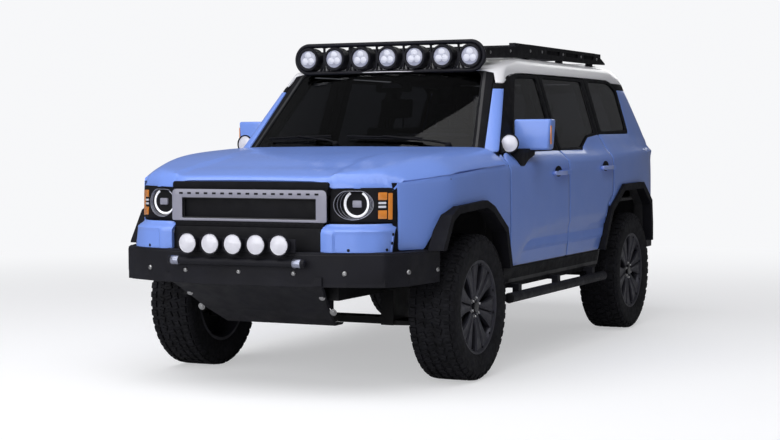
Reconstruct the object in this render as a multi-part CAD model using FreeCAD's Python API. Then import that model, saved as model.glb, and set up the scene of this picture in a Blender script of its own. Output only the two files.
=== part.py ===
"""Lifted off-road 4x4 with a steel front bumper, lamp bars and a roof rack.

Millimetres.  +X is the vehicle's left, -Y is forwards, +Z is up.  The tables
below give y rearwards from the front axle.  The finished part is moved along Y
so that its origin is the centre of its box, on the ground.
"""
import FreeCAD, Part
import math
import os

V = FreeCAD.Vector

# ---- driving dimensions -------------------------------------------------
WHEELBASE = 2850.0
FRONT_REACH = 1080.0        # front axle to the foremost lamp
REAR_OVERHANG = 1110.0      # rear axle to the end of the hitch
AXLE_Z = 412.0              # height of the axles in the tables of z
TRACK = 1664.0
TYRE_RADIUS = 412.0
TYRE_WIDTH = 275.0
BEAD_RADIUS = 258.0
RIM_WIDTH = 232.0
RIM_WALL = 20.0
FLANGE_HEIGHT = 16.0
FLANGE_THICK = 8.0
SPINDLE_RADIUS = 40.0
HUB_RADIUS = 62.0
BRAKE_RADIUS = 172.0
KINGPIN_OFFSET = 72.0       # wheel's middle in to the kingpin
SPINDLE_REACH = 68.0        # wheel's middle out to the spindle's end
WHEEL_ROOM = 54.5           # tyre to the wheel box
BOX_WALL = 20.0
KINGPIN_RADIUS = 25.0

WALL = 60.0                 # thickness of doors, pillars and body walls
GLASS = 5.0
GLASS_DEPTH = 22.0          # outer skin to the outer face of the glass
SHUT_GAP = 8.0              # round the hood
TAILGATE_GAP = 11.0         # round the tailgate, whose sides widen below
DOOR_GAP = 12.0             # round the side doors
FRAME_GAP = 26.0            # behind a door's leaning window frame
RUN_GAP = 0.3               # shaft or pin in its bore
DASH_GAP = 24.0             # dashboard to the doors, whose corners swing inwards

SILL_FRONT = 460.0          # clear of the steered tyre
FLOOR_Z = 640.0
FLOOR_THICK = 40.0
FLOOR_TOP = FLOOR_Z + FLOOR_THICK
SILL_Z = 500.0
DOOR_BOTTOM = 590.0
BELT_Z = 1290.0
BODY_HALF = 940.0           # half width at the door skins
REAR_HINGE_Y = 1544.0
HINGE_LEVELS = (760.0, 1060.0)
ROOF_SPLIT = 1768.0         # lower edge of the roof panel
TAILGATE_TOP = ROOF_SPLIT - 14
TAILGATE_BOTTOM = 750.0
COWL_TOP = 1262.0
DOOR_FRONT = 500.0          # rear edge of the front wing
PILLAR_B = 1540.0           # middle of the gap between the doors

RAIL_IN = 400.0
RAIL_OUT = 480.0
RAIL_LOW = 500.0
RAIL_HIGH = 638.0
RAIL_FRONT = -790.0

LAMP_RADIUS = 60.0
GRILLE_HALF = 473.0
SEAT_X = 370.0
BUMPER_LAMP_PITCH = 139.0
BUMPER_LAMP_Z = 806.0
ROOF_LAMP_RADIUS = 74.0
ROOF_LAMP_PITCH = 186.0
ROOF_LAMP_Z = ROOF_SPLIT + 92
ROOF_LAMP_Y = 828.0
BUMPER_LOW = 588.0
BUMPER_HIGH = 762.0
HOOD_THICK = 34.0
HOOD_AXIS_Y = 432.0
HITCH_PIN_RADIUS = 8.0
RACK_TOP = ROOF_SPLIT + 200
RACK_FRONT = 1480.0



def flank(inset):
    """x of a point this far in from the widest part of the body."""
    return BODY_HALF - inset


def aft(distance):
    """y of a point this far behind the rear axle."""
    return WHEELBASE + distance


WHEEL_X = TRACK / 2
KINGPIN_X = WHEEL_X - KINGPIN_OFFSET
TYRE_IN = WHEEL_X - TYRE_WIDTH / 2
WHEEL_BOX_IN = TYRE_IN - WHEEL_ROOM - BOX_WALL
HUB_Z = AXLE_Z
REAR_REACH = aft(REAR_OVERHANG)
REAR_DOOR_END = aft(-400)
REAR_BUMPER_FRONT = aft(500)
TAILGATE_AXIS_Y = aft(610)
RAIL_REAR = aft(850)
RACK_REAR = aft(380)
RACK_HALF = flank(340)
HITCH_PIN_Y = REAR_REACH - 60
CABIN_IN = flank(WALL)      # inner face of the doors
OUTSIDE = flank(-160)       # beyond every panel of the body
BEHIND = aft(1250)          # behind every panel of the body
SHIFT = (FRONT_REACH - REAR_REACH) / 2
LIFT = TYRE_RADIUS - AXLE_Z

# Cabin shell, one row a level:
# z, inset from the flank, y of the windscreen corner, bow of the front,
# rear end behind the rear axle, cut of the front corner from 0, square, to 1
CABIN = (
    (SILL_Z, 35, 430, 0, 810, 0),
    (700, 0, 430, 0, 890, 0),
    (1195, 0, 430, 0, 890, 0),
    (BELT_Z, 78, 455, 150, 850, 1),
    (ROOF_SPLIT + 7, 218, 905, 75, 595, 1),
    (ROOF_SPLIT + 34, 236, 985, 60, 580, 1),
    (ROOF_SPLIT + 82, 285, 1290, 20, 535, 1),
    (ROOF_SPLIT + 117, 470, 1750, 0, 350, 1),
)
# The space inside it, with the same columns
CAVITY = (
    (SILL_Z - 20, 37 + WALL, 430 + WALL, 0, 810 - WALL, 0),
    (700, WALL, 430 + WALL, 0, 890 - WALL, 0),
    (1195, WALL, 430 + WALL, 0, 890 - WALL, 0),
    (BELT_Z, 78 + WALL, 455 + WALL, 150, 850 - WALL, 1),
    (ROOF_SPLIT + 7, 218 + WALL, 905 + WALL, 75, 595 - WALL, 1),
    (ROOF_SPLIT + 32, 240 + WALL, 1020 + WALL, 60, 570 - WALL, 1),
    (ROOF_SPLIT + 70, 320 + WALL, 1340 + WALL, 20, 490 - WALL, 1),
)
# Share of the half width, and distance back from the windscreen corner
CORNER = ((0.0, 0.0), (0.55, 0.30), (0.88, 1.0))
# Hood, one row a station: y, half width at the shut line, its z,
# half width at the top edge, its z, z at the middle
HOOD = (
    (-884, GRILLE_HALF - 13, 1132, GRILLE_HALF - 33, 1150, 1150),
    (-836, flank(348), 1132, flank(380), 1168, 1172),
    (-730, flank(172), 1132, flank(225), 1196, 1204),
    (-500, flank(55), 1138, flank(128), 1240, 1246),
    (-352, flank(0), 1147, flank(92), 1256, 1262),
    (200, flank(0), 1188, flank(95), 1292, 1306),
    (430, flank(0), 1197, flank(102), 1302, 1318),
)


# ---- shapes -------------------------------------------------------------
def box(x0, x1, y0, y1, z0, z1):
    """Block between two corners."""
    return Part.makeBox(x1 - x0, y1 - y0, z1 - z0, V(x0, y0, z0))


def across(half, y0, y1, z0, z1):
    """Block across the vehicle's middle."""
    return box(-half, half, y0, y1, z0, z1)


def face(points):
    """Flat face through a closed run of corner points."""
    return Part.Face(Part.makePolygon([V(*p) for p in points] + [V(*points[0])]))


def side_prism(outline, x0, x1):
    """Outline of (y, z) points drawn out along X."""
    return face([(x0, y, z) for y, z in outline]).extrude(V(x1 - x0, 0, 0))


def front_prism(outline, y0, y1):
    """Outline of (x, z) points drawn out along Y."""
    return face([(x, y0, z) for x, z in outline]).extrude(V(0, y1 - y0, 0))


def plan_prism(outline, z0, z1):
    """Outline of (x, y) points drawn out along Z."""
    return face([(x, y, z0) for x, y in outline]).extrude(V(0, 0, z1 - z0))


def rod(start, end, radius):
    """Round bar between two points."""
    a, b = V(*start), V(*end)
    return Part.makeCylinder(radius, (b - a).Length, a, b - a)


def pipe_run(points, radius):
    """Round bar along a run of points, with ball corners."""
    parts = [rod(a, b, radius) for a, b in zip(points, points[1:])]
    parts += [Part.makeSphere(radius, V(*p)) for p in points[1:-1]]
    return fuse(parts)


def fuse(shapes):
    """One shape from several that touch or overlap."""
    shapes = list(shapes)
    if len(shapes) == 1:
        return shapes[0]
    return shapes[0].multiFuse(shapes[1:]).removeSplitter()


def both_sides(outline):
    """Half outline in x >= 0 closed by its mirror image."""
    return outline + [(-x, y) for x, y in reversed(outline) if x > 0]


def mirrored(shape):
    """Copy on the vehicle's right."""
    return shape.mirror(V(0, 0, 0), V(1, 0, 0))


def pair(shape):
    """A piece and its mirror image."""
    return [shape, mirrored(shape)]


def grown(outline, gap):
    """Closed outline moved outwards by a gap, inwards if it is negative."""
    flat = [V(a, b, 0) for a, b in outline]
    wire = Part.makePolygon(flat + [flat[0]])
    moved = wire.makeOffset2D(gap, 2)
    return [(v.X, v.Y) for v in moved.OrderedVertexes]


def biggest(shape):
    """The largest solid of a shape."""
    return max(shape.Solids, key=lambda s: s.Volume)


# ---- cabin shell --------------------------------------------------------
def cabin_outline(half, front, bow, rear, cut):
    """Plan of the cabin at one level."""
    points = [(half * share, front - bow * (1 - back)) for share, back in CORNER]
    points += [
        (half * (1 - 0.075 * cut), front + 62 * cut),
        (half, front + 220),
        (half, aft(-350)),
        (half - 35, rear - 430),
        (half - 78, rear - 145),
        (half - 178, rear - 14),
        (0, rear),
    ]
    return points


def level_loft(rows):
    """Straight-sided body through a table of levels."""
    wires = []
    for z, inset, front, bow, rear, cut in rows:
        ring = both_sides(cabin_outline(flank(inset), front, bow, aft(rear), cut))
        ring = [V(x, y, z) for x, y in ring]
        wires.append(Part.makePolygon(ring + [ring[0]]))
    return Part.makeLoft(wires, True, True)


def skin_at(depth):
    """The cabin's outer form, moved inwards by a depth."""
    rows = [(z, inset + depth, front + depth, bow, rear - depth, cut)
            for z, inset, front, bow, rear, cut in CABIN if z <= ROOF_SPLIT + 34]
    return level_loft(rows)


FRONT_DOOR = [
    (DOOR_FRONT, DOOR_BOTTOM), (DOOR_FRONT, 1232), (628, BELT_Z),
    (1085, ROOF_SPLIT - 12), (PILLAR_B, ROOF_SPLIT - 6), (PILLAR_B, DOOR_BOTTOM),
]
REAR_DOOR = [
    (PILLAR_B, DOOR_BOTTOM), (PILLAR_B, ROOF_SPLIT - 6),
    (REAR_DOOR_END - 10, ROOF_SPLIT - 6), (REAR_DOOR_END, BELT_Z),
    (REAR_DOOR_END, 968), (REAR_DOOR_END - 98, 905), (REAR_DOOR_END - 260, DOOR_BOTTOM),
]
FRONT_WINDOW = [
    (742, 1282), (PILLAR_B - 52, 1282), (PILLAR_B - 52, ROOF_SPLIT - 26),
    (1128, ROOF_SPLIT - 40),
]
REAR_WINDOW = [
    (PILLAR_B + 60, BELT_Z), (REAR_DOOR_END - 440, BELT_Z), (REAR_DOOR_END - 235, 1372),
    (REAR_DOOR_END - 75, 1388), (REAR_DOOR_END - 75, ROOF_SPLIT - 23),
    (PILLAR_B + 60, ROOF_SPLIT - 23),
]
QUARTER_WINDOW = [
    (REAR_DOOR_END + 70, 1396), (aft(335), 1408), (aft(245), ROOF_SPLIT - 40),
    (REAR_DOOR_END + 70, ROOF_SPLIT - 23),
]
REAR_ARCH = [
    (aft(-615), SILL_Z - 30), (aft(-610), 620), (aft(-450), 850), (aft(-190), 985),
    (aft(250), 988), (aft(430), 870), (aft(480), SILL_Z - 30),
]
FRONT_ARCH = [
    (-560, 560), (-520, 760), (-415, 915), (-330, 950), (55, 968), (155, 935),
    (345, 815), (400, 640), (424, 560),
]
WINDSCREEN = [
    (flank(198), COWL_TOP), (flank(318), ROOF_SPLIT), (-flank(318), ROOF_SPLIT),
    (-flank(198), COWL_TOP),
]
TAILGATE = [(flank(250), TAILGATE_BOTTOM), (flank(250), BELT_Z), (flank(365), TAILGATE_TOP)]


def tailgate_outline(gap):
    """Rear view of the tailgate, or of its opening with a gap."""
    half = [(x + gap, z) for x, z in TAILGATE]
    half[0] = (half[0][0], half[0][1] - gap)
    half[2] = (half[2][0], half[2][1] + gap)
    return half + [(-x, z) for x, z in reversed(half)]


def door_openings():
    """Spaces in a body side for its two doors."""
    cuts = [side_prism(grown(outline, DOOR_GAP / 2), flank(460), OUTSIDE)
            for outline in (FRONT_DOOR, REAR_DOOR)]
    # a leaning frame swings a little rearwards as its door opens
    frame_end = REAR_DOOR_END - 10 - DOOR_GAP / 2
    cuts.append(box(flank(460), OUTSIDE, frame_end, frame_end + FRAME_GAP,
                    BELT_Z - 100, ROOF_SPLIT))
    return cuts


def make_pillar_b(roof):
    """Left middle pillar, behind the gap between the doors."""
    outer = [(CABIN_IN - 20, FLOOR_TOP), (CABIN_IN - 8, 1195), (CABIN_IN - 86, BELT_Z),
             (CABIN_IN - 224, ROOF_SPLIT - 2), (CABIN_IN - 240, ROOF_SPLIT + 62)]
    inner = [(x - 45, z) for x, z in reversed(outer)]
    pillar = front_prism(outer + inner, PILLAR_B - 45, PILLAR_B + 45)
    leaves = [box(CABIN_IN - 65, BODY_HALF - 2, REAR_HINGE_Y - 3, REAR_HINGE_Y + 2 - RUN_GAP, z, z + 40)
              for z in HINGE_LEVELS]
    return biggest(fuse([pillar] + leaves).cut(roof))


def make_body_side(shell):
    """Hinge pillar, screen pillar, sill and rear quarter of the left side."""
    side = shell.common(box(flank(380), OUTSIDE, 400, BEHIND, SILL_Z, ROOF_SPLIT))
    cuts = door_openings()
    cuts.append(side_prism(QUARTER_WINDOW, flank(460), OUTSIDE))
    cuts.append(side_prism(REAR_ARCH, flank(460), OUTSIDE))
    cuts.append(front_prism(WINDSCREEN, 0, 1500))
    cuts.append(front_prism(tailgate_outline(TAILGATE_GAP), aft(350), BEHIND))
    cuts.append(box(0, flank(120), 400, 460 + WALL, SILL_Z - 40, COWL_TOP))
    cuts.append(box(flank(47), OUTSIDE, 300, DOOR_FRONT, DOOR_BOTTOM - 20, 1205))
    cuts.append(box(0, OUTSIDE, 300, HOOD_AXIS_Y + SHUT_GAP, 1150, 1400))
    cuts.append(box(0, OUTSIDE, REAR_BUMPER_FRONT - 6, BEHIND, SILL_Z - 40,
                    TAILGATE_BOTTOM - SHUT_GAP))
    cuts.append(box(0, OUTSIDE, 300, SILL_FRONT, SILL_Z - 40, DOOR_BOTTOM + 14))
    cuts.append(tail_lamp_block())
    return biggest(side.cut(cuts))


def tail_lamp_block():
    """Space of the left tail lamp in the rear corner."""
    return box(flank(228), OUTSIDE, aft(790), BEHIND, 905, 1215)


def make_door(shell, outline, window, upper_cut):
    """One left door with its window opening."""
    door = shell.common(side_prism(grown(outline, -DOOR_GAP / 2), flank(440), OUTSIDE))
    door = door.common(box(flank(440), OUTSIDE, 400, BEHIND, DOOR_BOTTOM, ROOF_SPLIT - 8))
    return door.cut([side_prism(window, flank(460), OUTSIDE)] + upper_cut)


def make_glass(pane, outline):
    """Side window pane inside its opening."""
    return pane.common(side_prism(outline, flank(440), OUTSIDE))


def make_roof(shell):
    """Roof panel with the windscreen header and the tailgate's hinge leaves."""
    roof = shell.common(box(-OUTSIDE, OUTSIDE, 400, BEHIND, ROOF_SPLIT, RACK_TOP))
    leaves = [box(x - 20, x + 20, TAILGATE_AXIS_Y - 55, TAILGATE_AXIS_Y - 15,
                  TAILGATE_TOP + RUN_GAP, ROOF_SPLIT + 4) for x in (-320, 320)]
    return fuse([roof] + leaves)


def make_floor(cavity, shell, wing):
    """Floor, firewall, inner wings and rear wheel boxes."""
    floor = cavity.common(across(flank(40), 430 + WALL, BEHIND, FLOOR_Z, FLOOR_TOP))
    wheel_space = box(WHEEL_BOX_IN + BOX_WALL, OUTSIDE, aft(-460), aft(460), SILL_Z, 900)
    door_space = box(CABIN_IN - 18, OUTSIDE, 480, REAR_DOOR_END + 10, SILL_Z, 930)
    floor = floor.cut([wheel_space, mirrored(wheel_space), door_space,
                       mirrored(door_space)])
    sill = cavity.common(box(CABIN_IN - 75, CABIN_IN - 25, 500, aft(-520), SILL_Z, FLOOR_Z))
    wheel_box = box(WHEEL_BOX_IN, flank(40), aft(-480), aft(480), FLOOR_Z, 920)
    wheel_box = wheel_box.cut([wheel_space, door_space]).common(cavity)
    fire = shell.common(across(flank(120), 400, DOOR_FRONT, FLOOR_Z, COWL_TOP))
    fire_middle = shell.common(across(flank(250), 400, 440 + WALL, FLOOR_Z, COWL_TOP))
    rear = shell.common(across(flank(240), aft(650), BEHIND, FLOOR_Z,
                               TAILGATE_BOTTOM - SHUT_GAP))
    inner = box(RAIL_OUT - 25, RAIL_OUT - 2, -700, 430, RAIL_HIGH, 1060)
    liner = box(RAIL_OUT - 2, flank(45), -470, 430, 978, 990).cut(wing)
    strip = box(RAIL_OUT - 25, flank(120), 425, 430, 700, 990)
    bay = fuse([inner, liner, strip])
    return [fuse([floor, wheel_box, mirrored(wheel_box), fire, fire_middle, rear, bay, mirrored(bay),
                  sill, mirrored(sill)])]


# ---- front end ----------------------------------------------------------
# Outer and inner face of the wing in plan, as (x, y) points
NOSE = [(flank(172), -730), (flank(120), -640), (flank(55), -500), (flank(0), -352),
        (flank(0), DOOR_FRONT)]
NOSE_IN = [(flank(45), DOOR_FRONT), (flank(45), -345), (flank(96), -480),
           (flank(158), -610), (flank(208), -694)]


def make_wing():
    """Left front wing behind the head lamp, up to the hood's shut line."""
    wing = plan_prism(NOSE + NOSE_IN, DOOR_BOTTOM + 2, 1200)
    top = [(y, z - SHUT_GAP) for y, _, z, _, _, _ in HOOD[1:]]
    top += [(DOOR_FRONT + 10, 1200), (DOOR_FRONT + 10, 1300), (-900, 1300),
            (-900, HOOD[0][2] - SHUT_GAP)]
    wing = wing.cut([side_prism(top, flank(340), OUTSIDE),
                     side_prism(FRONT_ARCH, flank(340), OUTSIDE)])
    wing = wing.cut(box(flank(340), OUTSIDE, -900, -500, 500, BUMPER_HIGH + 1))
    leaves = [box(flank(40), BODY_HALF - 2, DOOR_FRONT - 2, DOOR_FRONT + DOOR_GAP / 2 - RUN_GAP,
                  z, z + 40) for z in HINGE_LEVELS]
    return biggest(fuse([biggest(wing)] + leaves))


def hood_sections(inset, drop, rows):
    """Closed hood sections, inset at the sides and dropped at the top."""
    wires = []
    for y, half, z_shut, edge, z_edge, z_mid in rows:
        ring = [
            (half - inset, z_shut), (edge - inset, z_edge - drop),
            (edge * 0.55, z_mid - drop), (-edge * 0.55, z_mid - drop),
            (inset - edge, z_edge - drop), (inset - half, z_shut),
        ]
        ring = [V(x, y, z) for x, z in ring]
        wires.append(Part.makePolygon(ring + [ring[0]]))
    return Part.makeLoft(wires, True, True)


def make_hood():
    """Clamshell hood, open underneath."""
    outer = hood_sections(0, 0, HOOD)
    rows = [list(row) for row in HOOD]
    rows[0][0] += HOOD_THICK
    rows[0][1] += 60
    rows[0][3] += 60
    rows[0][4] += 16
    rows[0][5] += 16
    rows[-1][0] += 20
    for row in rows:
        row[2] -= 20
    hood = outer.cut(hood_sections(40, HOOD_THICK, rows))
    rear = [(x, y - 14) for x, y in cabin_outline(flank(78), 440, 160, aft(150), 1)[:4]]
    rear = [(x, min(y, HOOD_AXIS_Y)) for x, y in rear]
    rear += [(OUTSIDE, HOOD_AXIS_Y), (OUTSIDE, 900)]
    return hood.cut(plan_prism(both_sides(rear + [(0.0, 900)]), 1100, 1400))


def make_cowl(shell, hood):
    """Black panel between the hood and the windscreen, with the hood's brackets."""
    tray = both_sides([(0, 215), (flank(470), 262), (flank(200), 380),
                       (flank(200), 432), (0, 432)])
    tray = plan_prism(tray, 1206, 1224)
    under = hood.copy()
    under.translate(V(0, 0, -RUN_GAP))
    bracket = box(flank(280), flank(240), 358, 378, 1210, 1300).cut(under)
    bracket = min(bracket.Solids, key=lambda s: s.CenterOfMass.z)
    return biggest(fuse([tray, bracket, mirrored(bracket)]).cut(shell))


def make_headlamps():
    """Head lamp housing with its corner indicator, both sides."""
    body = plan_prism([(GRILLE_HALF, -862), (flank(347), -830), (flank(240), -784),
                       (flank(174), -731), (flank(208), -695), (flank(260), -735),
                       (GRILLE_HALF, -780)], 921, 1122)
    return pair(body)


def make_corner_covers():
    """Painted corner pieces between the lamps and the bumper."""
    outline = [(GRILLE_HALF - 11, -962), (flank(300), -932), (flank(195), -862),
               (flank(154), -757), (flank(174), -732), (flank(208), -694),
               (flank(250), -745), (flank(300), -800), (GRILLE_HALF - 11, -860)]
    cover = plan_prism(outline, BUMPER_HIGH + 1, 912)
    return pair(cover)


def make_grille():
    """Grille frame, blank panel behind it and the air slot on top."""
    opening = GRILLE_HALF - 62
    frame = across(GRILLE_HALF, -908, -850, 916, 1091)
    frame = frame.cut(across(opening, -920, -840, 927, 1044))
    panel = across(opening, -872, -862, 927, 1044)
    slot = across(GRILLE_HALF - 6, -892, -840, 1091, 1123)
    slot = slot.cut(across(GRILLE_HALF - 33, -900, -862, 1101, 1115))
    backing = across(GRILLE_HALF - 2, -850, -800, BUMPER_HIGH, 1091)
    backing = backing.cut(across(opening - 1, -860, -790, 930, 1040))
    shelf = across(GRILLE_HALF - 18, -905, -850, 770, 905)
    return [fuse([frame, panel, slot, backing, shelf])]


# Outer and inner face of the front bumper in plan, as (x, y) points
BUMPER = [(0, -1014), (340, -1006), (flank(340), -942), (flank(150), -868),
          (flank(74), -735), (flank(35), -430)]
BUMPER_IN = [(flank(51), -430), (flank(90), -728), (flank(161), -855), (flank(345), -925),
             (338, -989), (0, -997)]


def make_front_bumper():
    """Folded steel bumper with its top plate, on two arms."""
    wall = plan_prism(BUMPER + BUMPER_IN, BUMPER_LOW, BUMPER_HIGH)
    shelf_in = [(flank(51), -560), (flank(140), -660), (flank(280), -800), (0, -840)]
    shelf = plan_prism(BUMPER[:5] + [(flank(60), -600)] + shelf_in,
                       BUMPER_HIGH - 8, BUMPER_HIGH)
    half = fuse([wall, shelf])
    arm = box(RAIL_IN, RAIL_OUT, -985, RAIL_FRONT, RAIL_LOW + 92, RAIL_HIGH)
    return fuse([half, mirrored(half), arm, mirrored(arm)])


def make_guard_bar(bumper):
    """Bar in front of the bumper, with short stays."""
    bar = rod((-405, -1042, 712), (405, -1042, 712), 20)
    stay = box(330, 350, -1042, -1006, 700, 724)
    return [fuse([bar, stay, mirrored(stay)]).cut(bumper)]


def lamp(x, y, z, radius, depth):
    """Round driving lamp that faces forwards, y at its front rim."""
    return rod((x, y, z), (x, y + depth, z), radius)


def make_bumper_lamps():
    """Five round lamps and the plate they stand on."""
    lamps = [lamp(i * BUMPER_LAMP_PITCH, -FRONT_REACH, BUMPER_LAMP_Z, LAMP_RADIUS, 64)
             for i in range(-2, 3)]
    half = 2 * BUMPER_LAMP_PITCH + LAMP_RADIUS + 22
    plate = across(half, -1017, -1008, BUMPER_HIGH, 842)
    foot = across(half, -1012, -940, BUMPER_HIGH, BUMPER_HIGH + 6)
    return [fuse(lamps + [plate, foot])]


def make_skid_plate():
    """Sloping plate under the bumper."""
    outline = [(-950, 588), (-905, 560), (-715, 425), (-560, 338), (-470, 338),
               (-470, 350), (-556, 350), (-708, 437), (-898, 572), (-940, 588)]
    plate = side_prism(outline, -460, 460)
    plate = plate.common(front_prism([(460, 590), (340, 337), (-340, 337), (-460, 590)],
                                     -1000, -400))
    stay = side_prism([(-780, 484), (-708, 432), (-708, RAIL_LOW), (-780, RAIL_LOW)],
                      RAIL_IN, RAIL_IN + 8)
    return [fuse([plate, stay, mirrored(stay)])]


# ---- trim outside -------------------------------------------------------
def arch_flare(arch, width, x0, x1):
    """Black flare round an arch outline of (y, z) points."""
    outer = [(y, z) for y, z in grown(arch, width)]
    ring = side_prism(outer, x0, x1).cut(side_prism(arch, x0 - 10, x1 + 10))
    return ring.cut(box(x0 - 20, x1 + 20, -900, BEHIND, 300, DOOR_BOTTOM + 10))


def make_flares(wing, side):
    """Flares over the four arches."""
    front = arch_flare(FRONT_ARCH, 40, flank(44), flank(-46))
    rear = arch_flare(REAR_ARCH, 46, flank(58), flank(-32))
    front = front.cut([wing, box(flank(140), OUTSIDE, -900, -300, 500, BUMPER_HIGH + 1)])
    rear = rear.cut([side, side_prism(grown(REAR_DOOR, 4), flank(140), OUTSIDE),
                     box(flank(140), OUTSIDE, REAR_BUMPER_FRONT - 6, BEHIND, 500,
                         TAILGATE_BOTTOM - SHUT_GAP)])
    front = biggest(front)
    rear = biggest(rear)
    return pair(front) + pair(rear)


def make_steps():
    """Tube steps on brackets to the frame."""
    x = flank(-22)
    parts = [rod((x, 450, 424), (x, aft(-660), 424), 30)]
    for y in (620, 1300, aft(-870)):
        parts.append(box(RAIL_OUT - 5, x - 12, y - 25, y + 25, 470, 494))
        parts.append(box(RAIL_OUT - 25, RAIL_OUT, y - 25, y + 25, 470, RAIL_LOW))
        parts.append(box(x - 37, x + 3, y - 25, y + 25, 430, 494))
    return pair(fuse(parts))


def make_light_bar(roof):
    """Seven round lamps in an oval hoop on the roof's front edge."""
    lamps = [lamp(i * ROOF_LAMP_PITCH, ROOF_LAMP_Y, ROOF_LAMP_Z, ROOF_LAMP_RADIUS, 80)
             for i in range(-3, 4)]
    half = 3 * ROOF_LAMP_PITCH
    reach = ROOF_LAMP_RADIUS + 8
    low, high = ROOF_LAMP_Z - reach, ROOF_LAMP_Z + reach
    y = ROOF_LAMP_Y + 44
    rails = [rod((-half, y, z), (half, y, z), 9) for z in (low, high)]
    ends = []
    for sign in (1, -1):
        ring = Part.makeTorus(reach, 9, V(sign * half, y, ROOF_LAMP_Z), V(0, 1, 0))
        x0, x1 = sorted((sign * half, sign * (half + reach + 20)))
        ends.append(ring.common(box(x0, x1, y - 20, y + 20, low - 20, high + 20)))
    stays = [box(x - 5, x + 5, y - 8, y + 8, low, high)
             for x in [(i + 0.5) * ROOF_LAMP_PITCH for i in range(-3, 3)]]
    feet = [box(x - 14, x + 14, y + 20, 1120, low - 2, low + 26) for x in (-400, 400)]
    toes = [box(x - 14, x + 14, y - 9, y + 30, low - 5, low + 26) for x in (-400, 400)]
    return [biggest(fuse(lamps + rails + ends + stays + feet + toes).cut(roof))]


def cross_bars(count, first, last, half, z0, z1, width):
    """Evenly spaced bars across the vehicle."""
    step = (last - first - width) / (count - 1)
    return [box(-half, half, first + i * step, first + i * step + width, z0, z1)
            for i in range(count)]


def make_rack(roof):
    """Roof rack joined to the roof by six feet."""
    y0, y1 = RACK_FRONT, RACK_REAR
    rails = pair(box(RACK_HALF - 40, RACK_HALF, y0, y1, RACK_TOP - 62, RACK_TOP))
    slats = cross_bars(9, y0, y1, RACK_HALF, RACK_TOP - 40, RACK_TOP - 14, 60)
    feet = []
    for y in (y0 + 220, (y0 + y1) / 2 - 5, y1 - 230):
        feet.append(box(RACK_HALF - 40, RACK_HALF - 5, y, y + 60, ROOF_SPLIT + 32,
                        RACK_TOP - 50))
    feet = fuse(feet).cut(roof)
    top = fuse(rails + slats)
    return [biggest(fuse([top, feet, mirrored(feet)]))]


def make_rear_bumper():
    """Rear bumper with a hitch receiver."""
    outer = [(0, aft(1075)), (flank(340), aft(1068)), (flank(170), aft(1018)),
             (flank(84), aft(840)), (flank(35), aft(670)), (flank(25), REAR_BUMPER_FRONT)]
    inner = [(flank(85), REAR_BUMPER_FRONT), (flank(95), aft(660)), (flank(140), aft(810)),
             (flank(215), aft(950)), (flank(350), aft(1000)), (0, aft(1008))]
    wall = plan_prism(outer + inner, 545, TAILGATE_BOTTOM - SHUT_GAP - 6)
    arm = box(RAIL_IN, RAIL_OUT, RAIL_REAR, aft(1020), RAIL_LOW + 50, RAIL_HIGH)
    receiver = across(40, aft(950), REAR_REACH, 470, 550)
    receiver = receiver.cut(across(25.5, aft(980), REAR_REACH + 10, 484.5, 535.5))
    receiver = receiver.cut(rod((-50, HITCH_PIN_Y, 510), (50, HITCH_PIN_Y, 510),
                                HITCH_PIN_RADIUS))
    hang = across(40, aft(950), aft(1075), 545, 560)
    cross = across(RAIL_OUT, aft(930), aft(965), 550, 600)
    return [fuse([wall, mirrored(wall), arm, mirrored(arm), receiver, hang, cross])]


# ---- chassis ------------------------------------------------------------
def make_frame():
    """Two rails and their cross members."""
    rail = box(RAIL_IN, RAIL_OUT, RAIL_FRONT, RAIL_REAR, RAIL_LOW, RAIL_HIGH)
    members = [across(RAIL_IN, y, y + 80, RAIL_LOW + 10, RAIL_HIGH - 20)
               for y in (-780, -300, 500, 1400, aft(-600), aft(400), aft(750))]
    mounts = [across(flank(160), y, y + 70, RAIL_HIGH, FLOOR_Z)
              for y in (560, 1450, aft(-650))]
    return [fuse([rail, mirrored(rail)] + members + mounts)]


def make_front_suspension():
    """Upper and lower arms that carry the kingpins."""
    arms = []
    for x, z0, z1 in ((RAIL_OUT - 60, 300, 326), (RAIL_OUT, 520, 544)):
        arm = plan_prism([(x, -110), (KINGPIN_X - 20, -38), (KINGPIN_X, -40),
                          (KINGPIN_X, 40), (KINGPIN_X - 20, 38), (x, 110)], z0, z1)
        eye = Part.makeCylinder(40, z1 - z0, V(KINGPIN_X, 0, z0))
        bore = Part.makeCylinder(KINGPIN_RADIUS + RUN_GAP, 400, V(KINGPIN_X, 0, 250))
        arms.append(fuse([arm, eye]).cut(bore))
    tower = box(RAIL_OUT - 80, RAIL_OUT - 2, -110, 110, 300, RAIL_LOW)
    lower = fuse([arms[0], tower])
    cross = across(RAIL_OUT - 70, -60, 60, 300, 340)
    return [fuse([lower, mirrored(lower), cross])] + pair(arms[1])


def make_knuckle():
    """Left steering knuckle with its kingpin and wheel spindle."""
    pin = Part.makeCylinder(KINGPIN_RADIUS, 252, V(KINGPIN_X, 0, 296))
    block = box(KINGPIN_X - 32, KINGPIN_X + 32, -45, 45, 332, 514)
    spindle = rod((KINGPIN_X, 0, HUB_Z), (WHEEL_X + SPINDLE_REACH, 0, HUB_Z), SPINDLE_RADIUS)
    return fuse([pin, block, spindle])


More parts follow.
